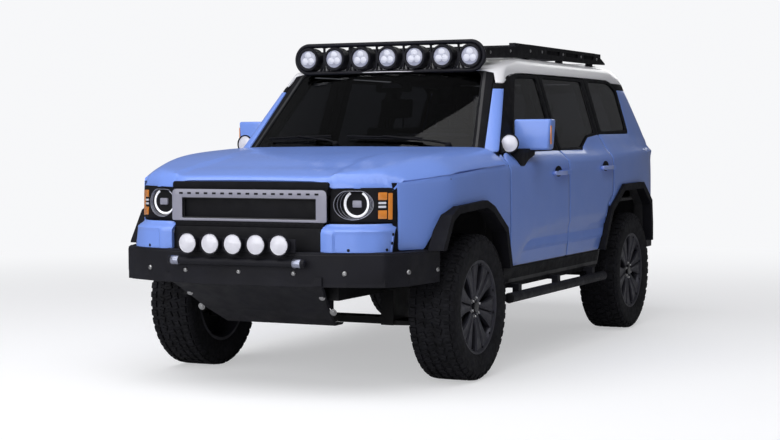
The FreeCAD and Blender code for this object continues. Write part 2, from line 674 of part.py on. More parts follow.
def make_rear_axle():
    """Solid rear axle with its springs and trailing arms."""
    y = WHEELBASE
    half = WHEEL_X - 52
    tube = rod((-half, y, HUB_Z), (half, y, HUB_Z), 48)
    half = WHEEL_X + SPINDLE_REACH
    spindle = rod((-half, y, HUB_Z), (half, y, HUB_Z), SPINDLE_RADIUS)
    diff = rod((-95, y, HUB_Z), (95, y, HUB_Z), 140)
    springs = [rod((sx, y, HUB_Z), (sx, y, RAIL_LOW), 42) for sx in (-440, 440)]
    arm = box(430, 470, aft(-550), y, HUB_Z - 20, HUB_Z + 20)
    lug = box(430, 470, aft(-550), aft(-490), HUB_Z - 20, RAIL_LOW)
    return [fuse([tube, spindle, diff, arm, mirrored(arm), lug, mirrored(lug)] + springs)]


def wheel_profile():
    """Half section of the tyre as (x, radius) points."""
    w, r = TYRE_WIDTH / 2, TYRE_RADIUS
    seat, bead = RIM_WIDTH / 2, BEAD_RADIUS + RUN_GAP
    wall = r - bead
    half = [(seat, bead), (seat, bead + FLANGE_HEIGHT + 4), (w, bead + wall * 0.34),
            (w, r - wall * 0.39), (w - 10, r - wall * 0.13), (w - 34, r)]
    return half + [(-x, radius) for x, radius in reversed(half)]


def make_tyre():
    """Tyre about the X axis, at the origin."""
    ring = face([(x, 0, z) for x, z in wheel_profile()])
    return ring.revolve(V(0, 0, 0), V(1, 0, 0), 360)


def make_rim():
    """Rim with spokes, hub and brake disc about the X axis, outer side +X."""
    half = RIM_WIDTH / 2 + RUN_GAP + FLANGE_THICK
    barrel = rod((-half, 0, 0), (half, 0, 0), BEAD_RADIUS)
    flanges = [rod((x, 0, 0), (x + FLANGE_THICK, 0, 0), BEAD_RADIUS + FLANGE_HEIGHT)
               for x in (-half, half - FLANGE_THICK)]
    barrel = fuse([barrel] + flanges)
    barrel = barrel.cut(rod((-half - 5, 0, 0), (half + 5, 0, 0), BEAD_RADIUS - RIM_WALL))
    spokes = []
    for i in range(6):
        for lean in (-11, 11):
            arm = box(half - 46, half - 14, -17, 17, HUB_RADIUS - 20, BEAD_RADIUS - 10)
            arm.rotate(V(0, 0, 0), V(1, 0, 0), i * 60 + lean)
            spokes.append(arm)
    hub = rod((0, 0, 0), (half - 8, 0, 0), HUB_RADIUS)
    disc = rod((0, 0, 0), (20, 0, 0), BRAKE_RADIUS)
    bore = rod((-10, 0, 0), (SPINDLE_REACH + 2, 0, 0), SPINDLE_RADIUS + RUN_GAP)
    return fuse([barrel, hub, disc] + spokes).cut(bore)


# ---- inside -------------------------------------------------------------
def make_engine():
    """Engine as one block on the frame."""
    return [box(-290, 290, -420, 330, RAIL_HIGH - 20, 1010)]


def make_dashboard(shell):
    """Dashboard across the cabin behind the firewall."""
    outline = [(480, 1060), (480, 1216), (560, 1256), (800, 1262), (850, 1200), (850, 1060)]
    room = level_loft([(z, inset + DASH_GAP, front + 10, bow, rear, cut)
                       for z, inset, front, bow, rear, cut in CAVITY])
    back = across(flank(300), 428 + WALL, 446 + WALL, 1064, 1200)
    dash = fuse([side_prism(outline, -flank(172), flank(172)).common(room), back])
    console = across(110, 840, 1700, FLOOR_TOP, 960)
    knee = across(110, 800, 850, 900, 1100)
    return [biggest(fuse([dash, console, knee, make_column()]).cut(shell))]


def seat(x, y, half, z):
    """Cushion, back and head rest of one seat."""
    base = box(x - half + 20, x + half - 20, y + 20, y + 440, FLOOR_TOP, z)
    cushion = box(x - half, x + half, y, y + 500, z, z + 130)
    back = side_prism([(y + 400, z + 130), (y + 520, z + 130), (y + 690, z + 610),
                       (y + 590, z + 610)], x - half + 10, x + half - 10)
    rest = side_prism([(y + 600, z + 625), (y + 690, z + 625), (y + 720, z + 790),
                       (y + 640, z + 790)], x - 130, x + 130)
    posts = [rod((x + dx, y + 640, z + 590), (x + dx, y + 655, z + 650), 8)
             for dx in (-60, 60)]
    return fuse([base, cushion, back, rest] + posts)


def make_front_seats():
    """Two front seats."""
    return pair(seat(SEAT_X, 1090, 250, 850))


def make_rear_bench():
    """Rear seat for three."""
    z = 880
    y = aft(-890)
    half = WHEEL_BOX_IN - 30
    base = across(half - 30, y + 20, y + 400, FLOOR_TOP, z)
    cushion = across(half, y, y + 470, z, z + 120)
    back = side_prism([(y + 380, z + 120), (y + 500, z + 120), (y + 620, z + 580),
                       (y + 520, z + 580)], -half, half)
    rests = [side_prism([(y + 535, z + 590), (y + 620, z + 590), (y + 640, z + 740),
                         (y + 570, z + 740)], x - 120, x + 120) for x in (-SEAT_X, SEAT_X)]
    posts = [rod((x + dx, y + 570, z + 560), (x + dx, y + 585, z + 620), 8)
             for x in (-SEAT_X, SEAT_X) for dx in (-50, 50)]
    return [fuse([base, cushion, back] + rests + posts)]


STEER_CENTRE = (SEAT_X, 985.0, 1340.0)
STEER_AXIS = (0.0, math.sin(math.radians(65)), math.cos(math.radians(65)))


def make_steering_wheel():
    """Steering wheel rim, spokes and boss on its leaning column."""
    centre = V(*STEER_CENTRE)
    axis = V(*STEER_AXIS)
    ring = Part.makeTorus(175, 14, centre, axis)
    boss = Part.makeCylinder(45, 46, centre - axis * 40, axis)
    side = V(1, 0, 0)
    up = axis.cross(side)
    spokes = []
    for direction in (side, side * -1, up * -1 if up.z > 0 else up):
        spokes.append(Part.makeCylinder(11, 172, centre - axis * 10, direction))
    return [fuse([ring, boss] + spokes)]


def make_column():
    """Steering column from the dashboard to the wheel."""
    centre = V(*STEER_CENTRE)
    axis = V(*STEER_AXIS)
    return Part.makeCylinder(32, 190, centre - axis * (40 + RUN_GAP + 190), axis)


# ---- doors' fittings ----------------------------------------------------
def make_mirror(door, glass):
    """Left mirror on its foot, with the round lamp in front of it."""
    shell = plan_prism([(flank(64), 846), (flank(10), 812), (flank(-126), 818),
                        (flank(-140), 852), (flank(-136), 918), (flank(60), 930)], 1284, 1469)
    foot = side_prism([(800, 1215), (905, 1205), (905, 1290), (830, 1290)],
                      flank(100), flank(5))
    x = flank(40)
    pod = rod((x, 600, 1324), (x, 660, 1324), 58)
    stalk = pipe_run([(x, 650, 1300), (x + 5, 760, 1270), (x, 840, 1262)], 13)
    parts = fuse([shell, foot, pod, stalk]).cut([door, glass])
    return [biggest(parts)]


def make_handle(x, y, z):
    """Pull handle on a door."""
    grip = box(x + 22, x + 36, y - 95, y + 95, z - 14, z + 14)
    feet = [box(x - 1, x + 24, y + d - 14, y + d + 14, z - 12, z + 12) for d in (-80, 80)]
    return fuse([grip] + feet)


# ---- output -------------------------------------------------------------
def put(name, shapes):
    """Write one node, moved so that the origin is the middle of the part, on the ground."""
    whole = Part.makeCompound([s for shape in shapes for s in shape.Solids])
    whole.translate(V(0, SHIFT, LIFT))
    whole.exportStep("parts/%s.step" % name)
    print("%-22s %d solids, %.1f litres" % (name, len(whole.Solids), whole.Volume / 1e6))


def put_sides(name, shapes):
    """Write a node for the left and its mirror image for the right."""
    put(name + "_left", shapes)
    put(name + "_right", [mirrored(s) for s in shapes])


def build_cabin():
    """Shell, doors, glass, lids and what is carried on them."""
    outer = level_loft(CABIN)
    cavity = level_loft(CAVITY)
    shell = outer.cut(cavity)
    pane = skin_at(GLASS_DEPTH).cut(skin_at(GLASS_DEPTH + GLASS))
    side = make_body_side(shell)
    front_door = make_door(shell, FRONT_DOOR, FRONT_WINDOW, [])
    rear_upper = [box(flank(460), OUTSIDE, PILLAR_B - 20, PILLAR_B + 16, BELT_Z - 90,
                      ROOF_SPLIT)]
    rear_door = make_door(shell, REAR_DOOR, REAR_WINDOW, rear_upper)
    roof = make_roof(shell)
    put_sides("body_side", [side, make_pillar_b(roof)])
    put_sides("front_door", [fuse([front_door, make_handle(BODY_HALF, PILLAR_B - 120, 1139)])])
    put_sides("rear_door", [fuse([rear_door, make_handle(BODY_HALF, REAR_DOOR_END - 110, 1150)])])
    front_glass = make_glass(pane, FRONT_WINDOW)
    put_sides("front_door_glass", [front_glass])
    put_sides("rear_door_glass", [make_glass(pane, REAR_WINDOW)])
    put("quarter_windows", pair(make_glass(pane, QUARTER_WINDOW)))
    put_sides("mirror", make_mirror(front_door, front_glass))
    put("tail_lamps", pair(shell.common(tail_lamp_block())))
    put("roof_panel", [roof])
    put("windscreen", [pane.common(front_prism(WINDSCREEN, 200, 1400))])
    put("floor_pan", make_floor(cavity, shell, make_wing()))
    put("cowl_panel", [make_cowl(shell, make_hood())])
    build_tailgate(shell, pane)
    put("dashboard", make_dashboard(shell))
    put("roof_rack", make_rack(roof))
    put("roof_light_bar", make_light_bar(roof))
    return side


def build_tailgate(shell, pane):
    """Tailgate and its window."""
    window = both_sides([(flank(338), 1330), (flank(420), ROOF_SPLIT - 68)])
    gate = shell.common(front_prism(tailgate_outline(0), aft(350), BEHIND))
    put("tailgate", [gate.cut(front_prism(window, aft(450), BEHIND))])
    put("tailgate_glass", [pane.common(front_prism(window, aft(450), BEHIND))])


def build_front_end(side):
    """Wings, hood, lamps, grille and bumper."""
    wing = make_wing()
    covers = make_corner_covers()
    put("front_wings", pair(wing))
    put("hood", [make_hood()])
    put("headlamps", make_headlamps())
    put("corner_covers", covers)
    put("grille", make_grille())
    bumper = make_front_bumper()
    put("front_bumper", [bumper])
    put("guard_bar", make_guard_bar(bumper))
    put("bumper_lamps", make_bumper_lamps())
    put("skid_plate", make_skid_plate())
    put("arch_flares", make_flares(wing, side))


def build_chassis():
    """Frame, axles, steps and what is bolted to them."""
    put("ladder_frame", make_frame())
    put("front_suspension", make_front_suspension())
    put("rear_axle", make_rear_axle())
    put("engine_block", make_engine())
    put("side_steps", make_steps())
    put("rear_bumper", make_rear_bumper())
    put_sides("knuckle", [make_knuckle()])


def build_inside():
    """Seats and steering wheel that show through the glass."""
    put("front_seats", make_front_seats())
    put("rear_bench", make_rear_bench())
    put("steering_wheel", make_steering_wheel())


def build_wheels():
    """Four wheels, each a tyre and a rim."""
    tyre, rim = make_tyre(), make_rim()
    for name, y in (("front", 0.0), ("rear", WHEELBASE)):
        for side, sign in (("left", 1), ("right", -1)):
            for kind, shape in (("tyre", tyre), ("rim", rim)):
                piece = shape.copy() if sign > 0 else mirrored(shape)
                piece.translate(V(sign * WHEEL_X, y, HUB_Z))
                put("%s_%s_%s" % (kind, name, side), [piece])


def main():
    """Build every node."""
    os.makedirs("parts", exist_ok=True)
    side = build_cabin()
    build_front_end(side)
    build_chassis()
    build_inside()
    build_wheels()


main()
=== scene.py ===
# %% [markdown]
# # A lifted off-road 4x4
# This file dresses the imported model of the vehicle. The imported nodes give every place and
# size. Each cell makes one piece or one finish, and says why it is made that way.

# %% Load the frame
import bmesh
import bpy
import math
from mathutils import Matrix, Vector, geometry
from mathutils.bvhtree import BVHTree


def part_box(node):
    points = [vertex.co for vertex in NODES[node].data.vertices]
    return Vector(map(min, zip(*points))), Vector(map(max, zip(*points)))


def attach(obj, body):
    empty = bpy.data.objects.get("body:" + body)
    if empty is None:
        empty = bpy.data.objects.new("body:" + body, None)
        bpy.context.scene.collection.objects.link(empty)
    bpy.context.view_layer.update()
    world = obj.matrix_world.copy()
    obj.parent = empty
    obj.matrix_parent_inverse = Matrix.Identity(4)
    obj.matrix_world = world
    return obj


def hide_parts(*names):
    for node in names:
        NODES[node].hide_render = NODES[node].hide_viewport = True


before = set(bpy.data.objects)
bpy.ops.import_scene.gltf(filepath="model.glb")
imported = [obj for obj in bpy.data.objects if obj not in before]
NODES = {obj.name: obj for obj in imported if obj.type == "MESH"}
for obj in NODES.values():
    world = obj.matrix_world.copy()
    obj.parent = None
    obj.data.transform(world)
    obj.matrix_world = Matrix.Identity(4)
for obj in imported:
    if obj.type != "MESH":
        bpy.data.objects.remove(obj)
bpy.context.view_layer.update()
AXLE_Y = sum(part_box("tyre_front_left")[i].y for i in (0, 1)) / 2
REAR_AXLE = sum(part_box("tyre_rear_left")[i].y for i in (0, 1)) / 2 - AXLE_Y
WHEEL_Z = 0.412  # height of the wheels' middle
print("nodes", len(NODES), "front axle at y", round(AXLE_Y, 3), "wheelbase", round(REAR_AXLE, 3))

# %% [markdown]
# ## How panels are made
# A real body panel is a thin pressed sheet with a folded edge. Here a panel is a flat outline,
# filled with triangles, then moved onto the body's smooth surface. Solidify gives the sheet
# its thickness, and Bevel rounds its edge, so every shut line catches the light.
# The numbers of a panel are in metres. y runs rearwards from the front axle.

# %% Make an object from corners and faces
def add_object(name, data):
    """A new object, placed in the scene."""
    obj = bpy.data.objects.new(name, data)
    bpy.context.scene.collection.objects.link(obj)
    return obj


def make_object(name, verts, faces, material, smooth=40.0):
    mesh = bpy.data.meshes.new(name)
    mesh.from_pydata([(x, y + AXLE_Y, z) for x, y, z in verts], [], faces)
    mesh.materials.append(material)
    obj = add_object(name, mesh)
    bm = bmesh.new()
    bm.from_mesh(mesh)
    bmesh.ops.remove_doubles(bm, verts=bm.verts, dist=1e-5)
    bmesh.ops.dissolve_degenerate(bm, edges=bm.edges, dist=1e-6)
    bmesh.ops.recalc_face_normals(bm, faces=bm.faces)
    bm.to_mesh(mesh)
    bm.free()
    shade(obj, smooth)
    return obj


def ring_faces(rows, count, closed=True):
    """Four-sided faces between rows of points that follow each other in a list."""
    return [(j * count + k, j * count + (k + 1) % count,
             (j + 1) * count + (k + 1) % count, (j + 1) * count + k)
            for j in range(rows - 1) for k in range(count if closed else count - 1)]


def end_caps(rows, count):
    """The first and the last row as flat faces."""
    return [tuple(range(count)), tuple(range((rows - 1) * count, rows * count))]


def shade(obj, degrees):
    """Smooth shading, with edges sharper than an angle kept crisp."""
    bm = bmesh.new()
    bm.from_mesh(obj.data)
    limit = math.radians(degrees)
    for f in bm.faces:
        f.smooth = True
    for e in bm.edges:
        e.smooth = len(e.link_faces) == 2 and e.calc_face_angle(0.0) < limit
    bm.to_mesh(obj.data)
    bm.free()


def apply_modifiers(obj):
    """Turn the live modifiers into plain mesh."""
    graph = bpy.context.evaluated_depsgraph_get()
    graph.update()
    mesh = bpy.data.meshes.new_from_object(obj.evaluated_get(graph))
    old = obj.data
    obj.modifiers.clear()
    obj.data = mesh
    bpy.data.meshes.remove(old)
    return obj


def bevel(obj, width, segments=2, angle=40.0):
    mod = obj.modifiers.new("bevel", "BEVEL")
    mod.width = width
    mod.segments = segments
    mod.limit_method = "ANGLE"
    mod.angle_limit = math.radians(angle)
    mod.harden_normals = False
    apply_modifiers(obj)
    shade(obj, 35.0)
    return obj


def thicken(obj, thickness, outwards):
    """Turn a sheet's face to the side that shows, and give it a wall behind."""
    way = sum((p.normal for p in obj.data.polygons), Vector())
    if way.dot(Vector(outwards)) < 0:
        obj.data.flip_normals()
    mod = obj.modifiers.new("wall", "SOLIDIFY")
    mod.thickness = thickness
    mod.offset = -1.0
    mod.use_even_offset = False
    return apply_modifiers(obj)


def join(name, objs):
    """One object from several, with their materials kept."""
    bm = bmesh.new()
    materials = []
    for obj in objs:
        start = len(bm.faces)
        remap = []
        for m in obj.data.materials:
            if m not in materials:
                materials.append(m)
            remap.append(materials.index(m))
        bm.from_mesh(obj.data)
        bm.faces.ensure_lookup_table()
        for f in bm.faces[start:]:
            f.material_index = remap[f.material_index] if remap else 0
    mesh = bpy.data.meshes.new(name)
    bm.to_mesh(mesh)
    bm.free()
    for m in materials:
        mesh.materials.append(m)
    obj = add_object(name, mesh)
    for o in objs:
        bpy.data.objects.remove(o)
    return obj


def mirror(obj, name):
    """A copy on the vehicle's right, with its faces turned the right way."""
    bm = bmesh.new()
    bm.from_mesh(obj.data)
    bmesh.ops.scale(bm, vec=(-1, 1, 1), verts=bm.verts)
    bmesh.ops.reverse_faces(bm, faces=bm.faces)
    mesh = bpy.data.meshes.new(name)
    bm.to_mesh(mesh)
    bm.free()
    for m in obj.data.materials:
        mesh.materials.append(m)
    return add_object(name, mesh)


def done(obj, body, nodes=()):
    """Say what a finished piece rides on and stands for."""
    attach(obj, body)
    if nodes:
        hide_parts(*nodes)
    return obj


def both(obj, body, node=None):
    """A left piece and its mirror image, on their own bodies."""
    stem = obj.name
    obj.name = stem + "_left"
    right = mirror(obj, stem + "_right")
    for piece, side in ((obj, "left"), (right, "right")):
        target = body if body == "root" else body + "_" + side
        done(piece, target, (node + "_" + side,) if node else ())
    return obj, right


# %% Fill an outline and lay it on a surface
CORNER_STEPS, BEND_STEPS = 5, 4
ORIGIN = (0, 0, 0)
OUTWARD, FORWARD, BACKWARD, UPWARD = (1, 0, 0), (0, -1, 0), (0, 1, 0), (0, 0, 1)


def soft_bend(a, b, c, t):
    """Point of the curve that leaves a and reaches c, drawn towards b."""
    return a * (1 - t) ** 2 + b * 2 * t * (1 - t) + c * t * t


def rounded(points, radius):
    """Closed outline with round corners. A point's third value sets its own radius."""
    out = []
    n = len(points)
    for i, p in enumerate(points):
        here = Vector(p[:2])
        r = p[2] if len(p) > 2 else radius
        before = Vector(points[i - 1][:2]) - here
        after = Vector(points[(i + 1) % n][:2]) - here
        r = min(r, before.length * 0.48, after.length * 0.48)
        if r < 1e-4:
            out.append(here)
            continue
        a = here + before.normalized() * r
        b = here + after.normalized() * r
        out += [soft_bend(a, here, b, k / CORNER_STEPS) for k in range(CORNER_STEPS + 1)]
    return out


def rect(x0, x1, z0, z1, low=0.004, high=None):
    """A rectangle with round corners, its upper ones with a radius of their own if given."""
    high = low if high is None else high
    return rounded([(x0, z0, low), (x0, z1, high), (x1, z1, high), (x1, z0, low)], low)


def ellipse(cx, cz, rx, rz, count):
    return [Vector((cx + rx * math.cos(2 * math.pi * k / count),
                    cz + rz * math.sin(2 * math.pi * k / count))) for k in range(count)]


def at_x(x):
    """A flat surface across the vehicle, for (y, z) outlines."""
    return lambda y, z: (x, y, z)


def at_y(y):
    """A flat surface along the vehicle, for (x, z) outlines."""
    return lambda x, z: (x, y, z)


def divided(points, spacing, closed=True):
    """Points along an outline, no further apart than a spacing."""
    out = []
    pairs = list(zip(points, points[1:] + points[:1])) if closed else list(zip(points, points[1:]))
    for a, b in pairs:
        n = max(1, math.ceil((b - a).length / spacing))
        out += [a.lerp(b, k / n) for k in range(n)]
    if not closed:
        out.append(points[-1])
    return out


def inside(point, ring):
    """Whether a flat point lies in a closed ring."""
    x, y = point
    hit = False
    for a, b in zip(ring, ring[1:] + ring[:1]):
        if (a.y > y) != (b.y > y) and x < (b.x - a.x) * (y - a.y) / (b.y - a.y) + a.x:
            hit = not hit
    return hit


def far_from(point, ring, gap):
    """Whether a flat point is clear of a ring's edges."""
    for a, b in zip(ring, ring[1:] + ring[:1]):
        edge = b - a
        t = max(0.0, min(1.0, (point - a).dot(edge) / max(edge.length_squared, 1e-12)))
        if (a + edge * t - point).length < gap:
            return False
    return True


def filled(outline, holes=(), grid=0.03, lines=()):
    """Flat triangles inside an outline, less its holes, with extra lines kept as edges."""
    rings = [divided(list(r), grid) for r in (outline, *holes)]
    points, edges = [], []
    for ring in rings:
        first = len(points)
        points += ring
        n = len(ring)
        edges += [(first + i, first + (i + 1) % n) for i in range(n)]
    for line in lines:
        run = [p for p in divided([Vector(q) for q in line], grid, False)
               if inside(p, rings[0]) and not any(inside(p, r) for r in rings[1:])
               and all(far_from(p, r, grid * 0.2) for r in rings)]
        points += run
    low = [min(p[i] for p in rings[0]) for i in (0, 1)]
    high = [max(p[i] for p in rings[0]) for i in (0, 1)]
    fixed = [Vector(q) for line in lines for q in divided([Vector(w) for w in line], grid, False)]
    rows = int((high[1] - low[1]) / grid) + 1
    cols = int((high[0] - low[0]) / grid) + 1
    for j in range(rows):
        for i in range(cols):
            p = Vector((low[0] + (i + 0.5) * grid, low[1] + (j + 0.5) * grid))
            if not inside(p, rings[0]) or any(inside(p, r) for r in rings[1:]):
                continue
            if all(far_from(p, r, grid * 0.45) for r in rings):
                if all((q - p).length > grid * 0.4 for q in fixed):
                    points.append(p)
    verts, _, faces, _, _, _ = geometry.delaunay_2d_cdt(points, edges, [], 1, 1e-6)
    kept = []
    for f in faces:
        middle = sum((verts[i] for i in f), Vector((0, 0))) / len(f)
        if inside(middle, rings[0]) and not any(inside(middle, r) for r in rings[1:]):
            kept.append(f)
    return verts, kept


def panel(name, outline, surface, material, holes=(), thick=0.012, grid=0.03, lines=(),
          edge=0.003, outwards=OUTWARD):
    """A pressed sheet: an outline laid on a surface, with its wall and rolled edge."""
    verts, faces = filled(outline, holes, grid, lines)
    obj = make_object(name, [surface(v.x, v.y) for v in verts], faces, material)
    thicken(obj, thick, outwards)
    if edge:
        bevel(obj, edge, 2, 50.0)
    return obj


def smooth_table(rows, t):
    """Value of a table of (place, value...) rows at a place, along a smooth curve."""
    if t <= rows[0][0]:
        return rows[0][1:]
    if t >= rows[-1][0]:
        return rows[-1][1:]
    i = max(k for k, row in enumerate(rows[:-1]) if row[0] <= t)
    p1, p2 = rows[i], rows[i + 1]
    p0 = rows[i - 1] if i else p1
    p3 = rows[i + 2] if i + 2 < len(rows) else p2
    h = p2[0] - p1[0]
    u = (t - p1[0]) / h
    out = []
    for a, b, c, d in zip(p0[1:], p1[1:], p2[1:], p3[1:]):
        m1 = (c - a) / max(p2[0] - p0[0], 1e-9) * h
        m2 = (d - b) / max(p3[0] - p1[0], 1e-9) * h
        out.append((2 * u**3 - 3 * u**2 + 1) * b + (u**3 - 2 * u**2 + u) * m1
                   + (3 * u**2 - 2 * u**3) * c + (u**3 - u**2) * m2)
    return out


def straight_table(rows, t):
    """Value of a table at a place, along straight runs."""
    t = max(rows[0][0], min(rows[-1][0], t))
    for a, b in zip(rows, rows[1:]):
        if t <= b[0]:
            u = (t - a[0]) / max(b[0] - a[0], 1e-9)
            return [p + (q - p) * u for p, q in zip(a[1:], b[1:])]
    return list(rows[-1][1:])


print("helpers ready")

# %% [markdown]
# ## Camera, light and floor
# The camera stands in front of the vehicle's left corner at eye height, with a long lens.
# The light is one large soft lamp above, one in front, and weaker ones at the left and behind,
# so that a colour renders about as it is written. Only the eye, mirror images and clear glass
# see the white of the background, so it puts no light on the vehicle.

# %% Camera
CAMERA_PLACE = Vector((4.496, -8.619, 1.359))
YAW, PITCH, ROLL = (math.radians(a) for a in (25.38, 2.81, -0.24))
LENS = 77.1


def add_camera():
    data = bpy.data.cameras.new("camera")
    data.lens = LENS
    data.sensor_width = 36.0
    obj = add_object("camera", data)
    forward = Vector((-math.sin(YAW) * math.cos(PITCH), math.cos(YAW) * math.cos(PITCH),
                      -math.sin(PITCH)))
    level = Vector((math.cos(YAW), math.sin(YAW), 0))
    upward = level.cross(forward)
    right = level * math.cos(ROLL) + upward * math.sin(ROLL)
    upward = right.cross(forward)
    turn = Matrix((right, upward, -forward)).transposed()
    obj.matrix_world = Matrix.Translation(CAMERA_PLACE + Vector((0, AXLE_Y, 0))) @ turn.to_4x4()
    bpy.context.scene.camera = obj


add_camera()
print("camera lens", LENS)


# %% World, lamps and floor
PALE = (0.93, 0.935, 0.95, 1)
MIRRORED_SHARE = 0.12


def add_node(tree, kind, inputs, **settings):
    """A node with its settings, and with its inputs linked or given a value."""
    node = tree.nodes.new(kind)
    for name, value in settings.items():
        setattr(node, name, value)
    for socket, value in inputs.items():
        if isinstance(value, bpy.types.NodeSocket):
            tree.links.new(value, node.inputs[socket])
        else:
            node.inputs[socket].default_value = value
    return node


def seen_directly(tree):
    """1 for the eye and through glass, a part for a mirror image, 0 for light."""
    path = tree.nodes.new("ShaderNodeLightPath").outputs
    share = add_node(tree, "ShaderNodeMath",
                     {0: path["Is Glossy Ray"], 1: MIRRORED_SHARE, 2: path["Is Transmission Ray"]},
                     operation="MULTIPLY_ADD").outputs[0]
    return add_node(tree, "ShaderNodeMath", {0: path["Is Camera Ray"], 1: share},
                    operation="ADD", use_clamp=True).outputs[0]


def mixed(tree, factor, first, second):
    return add_node(tree, "ShaderNodeMixShader", {0: factor, 1: first, 2: second}).outputs[0]


def add_world():
    world = bpy.data.worlds.new("studio")
    bpy.context.scene.world = world
    world.use_nodes = True
    tree = world.node_tree
    tree.nodes.clear()
    soft = add_node(tree, "ShaderNodeBackground", {"Color": (0.92, 0.94, 1.0, 1),
                                                   "Strength": 0.06})
    white = add_node(tree, "ShaderNodeBackground", {"Color": PALE})
    shown = mixed(tree, seen_directly(tree), soft.outputs[0], white.outputs[0])
    add_node(tree, "ShaderNodeOutputWorld", {0: shown})


def add_area(name, place, target, size, watts):
    data = bpy.data.lights.new(name, "AREA")
    data.shape = "RECTANGLE"
    data.size, data.size_y = size
    data.energy = watts
    obj = add_object(name, data)
    obj.location = place
    obj.rotation_euler = (Vector(target) - Vector(place)).to_track_quat("-Z", "Y").to_euler()


def add_floor():
    """Pale floor that keeps the shadow and fades into the background with distance."""
    mesh = bpy.data.meshes.new("floor")
    mesh.from_pydata([(-60, -60, 0), (60, -60, 0), (60, 60, 0), (-60, 60, 0)], [], [(0, 1, 2, 3)])
    floor = add_object("floor", mesh)
    mat = bpy.data.materials.new("pale_floor")
    mat.use_nodes = True
    tree = mat.node_tree
    shader = tree.nodes["Principled BSDF"]
    shader.inputs["Base Color"].default_value = (0.60, 0.60, 0.615, 1)
    shader.inputs["Roughness"].default_value = 0.85
    lit = shader.outputs[0]
    glow = add_node(tree, "ShaderNodeEmission", {"Color": PALE, "Strength": 0.48})
    near = add_node(tree, "ShaderNodeAddShader", {0: lit, 1: glow.outputs[0]})
    far = add_node(tree, "ShaderNodeEmission", {"Color": PALE})
    place = tree.nodes.new("ShaderNodeTexCoord").outputs["Object"]
    length = add_node(tree, "ShaderNodeVectorMath", {0: place}, operation="LENGTH")
    fade = add_node(tree, "ShaderNodeMapRange",
                    {"From Min": 2.8, "From Max": 10.0, "Value": length.outputs["Value"]},
                    interpolation_type="SMOOTHSTEP")
    shown = mixed(tree, fade.outputs["Result"], near.outputs[0], far.outputs[0])
    tree.links.new(mixed(tree, seen_directly(tree), lit, shown),
                   tree.nodes["Material Output"].inputs["Surface"])
    mesh.materials.append(mat)


add_world()
add_area("lamp_above", (0.0, -4.2, 8.0), (0, 0.6, 0.8), (13.0, 8.0), 760)
add_area("lamp_front", (-2.0, -14.0, 4.5), (0, -1.5, 0.8), (16.0, 8.0), 1020)
add_area("lamp_left", (9.0, 0.5, 2.6), (0.5, 0.3, 0.9), (6.0, 3.0), 16)
add_area("lamp_behind", (-2.0, 9.5, 4.0), (0, 1.0, 0.9), (5.0, 3.0), 120)
add_floor()
bpy.context.scene.view_settings.view_transform = "Standard"

# %% [markdown]
# ## Finishes
# Each finish is a small node tree on the Object coordinates: a slow noise shifts the colour and
# gloss a little, and a fine pattern raises the surface, as the real coating or grain does.

# %% Build a finish
MATERIALS = {}
LOW_STOP, HIGH_STOP = 0.3, 0.7


class Finish:
    """A material with its shader and short ways to add patterns."""

    def __init__(self, name, colour, roughness, metallic=0.0):
        self.mat = bpy.data.materials.new(name)
        self.mat.use_nodes = True
        self.tree = self.mat.node_tree
        self.shader = self.tree.nodes["Principled BSDF"]
        self.colour = tuple(colour) + (1.0,)
        self.set("Base Color", self.colour)
        self.set("Roughness", roughness)
        self.set("Metallic", metallic)
        self.place = self.tree.nodes.new("ShaderNodeTexCoord").outputs["Object"]
        MATERIALS[name] = self.mat
        self.mat.diffuse_color = self.colour

    def set(self, socket, value):
        self.shader.inputs[socket].default_value = value
        return self

    def link(self, value, socket):
        self.tree.links.new(value, self.shader.inputs[socket])
        return self

    def noise(self, scale, detail=2.0):
        return add_node(self.tree, "ShaderNodeTexNoise",
                        {"Vector": self.place, "Scale": scale, "Detail": detail}).outputs["Fac"]

    def cells(self, scale, kind="F1"):
        return add_node(self.tree, "ShaderNodeTexVoronoi", {"Vector": self.place, "Scale": scale},
                        feature=kind).outputs["Distance"]

    def wave(self, scale, direction="X"):
        return add_node(self.tree, "ShaderNodeTexWave", {"Vector": self.place, "Scale": scale},
                        bands_direction=direction).outputs["Fac"]

    def vary_colour(self, value, dark, light):
        """Colour that runs between two shades of the base as a pattern rises."""
        ramp = add_node(self.tree, "ShaderNodeValToRGB", {"Fac": value})
        for stop, place, share in ((0, LOW_STOP, dark), (1, HIGH_STOP, light)):
            element = ramp.color_ramp.elements[stop]
            element.position = place
            element.color = tuple(min(1.0, c * share) for c in self.colour[:3]) + (1.0,)
        return self.link(ramp.outputs["Color"], "Base Color")

    def vary_gloss(self, value, low, high):
        spread = add_node(self.tree, "ShaderNodeMapRange",
                          {"Value": value, "From Min": LOW_STOP, "From Max": HIGH_STOP,
                           "To Min": low, "To Max": high})
        return self.link(spread.outputs["Result"], "Roughness")

    def raise_by(self, value, strength, distance=0.001):
        bump = add_node(self.tree, "ShaderNodeBump",
                        {"Strength": strength, "Distance": distance, "Height": value})
        normal = self.shader.inputs["Normal"]
        if normal.is_linked:
            self.tree.links.new(normal.links[0].from_socket, bump.inputs["Normal"])
        return self.link(bump.outputs["Normal"], "Normal")


def paint(name, colour):
    """Gloss car paint: flakes in the colour, orange peel in the clear coat."""
    f = Finish(name, colour, 0.40)
    f.vary_colour(f.noise(900.0, 3.0), 0.94, 1.06)
    f.vary_gloss(f.noise(6.0, 3.0), 0.36, 0.46)
    f.set("Specular IOR Level", 0.22).set("Coat Weight", 0.50).set("Coat Roughness", 0.14)
    f.raise_by(f.noise(160.0, 1.0), 0.05, 0.0006)
    return f.mat


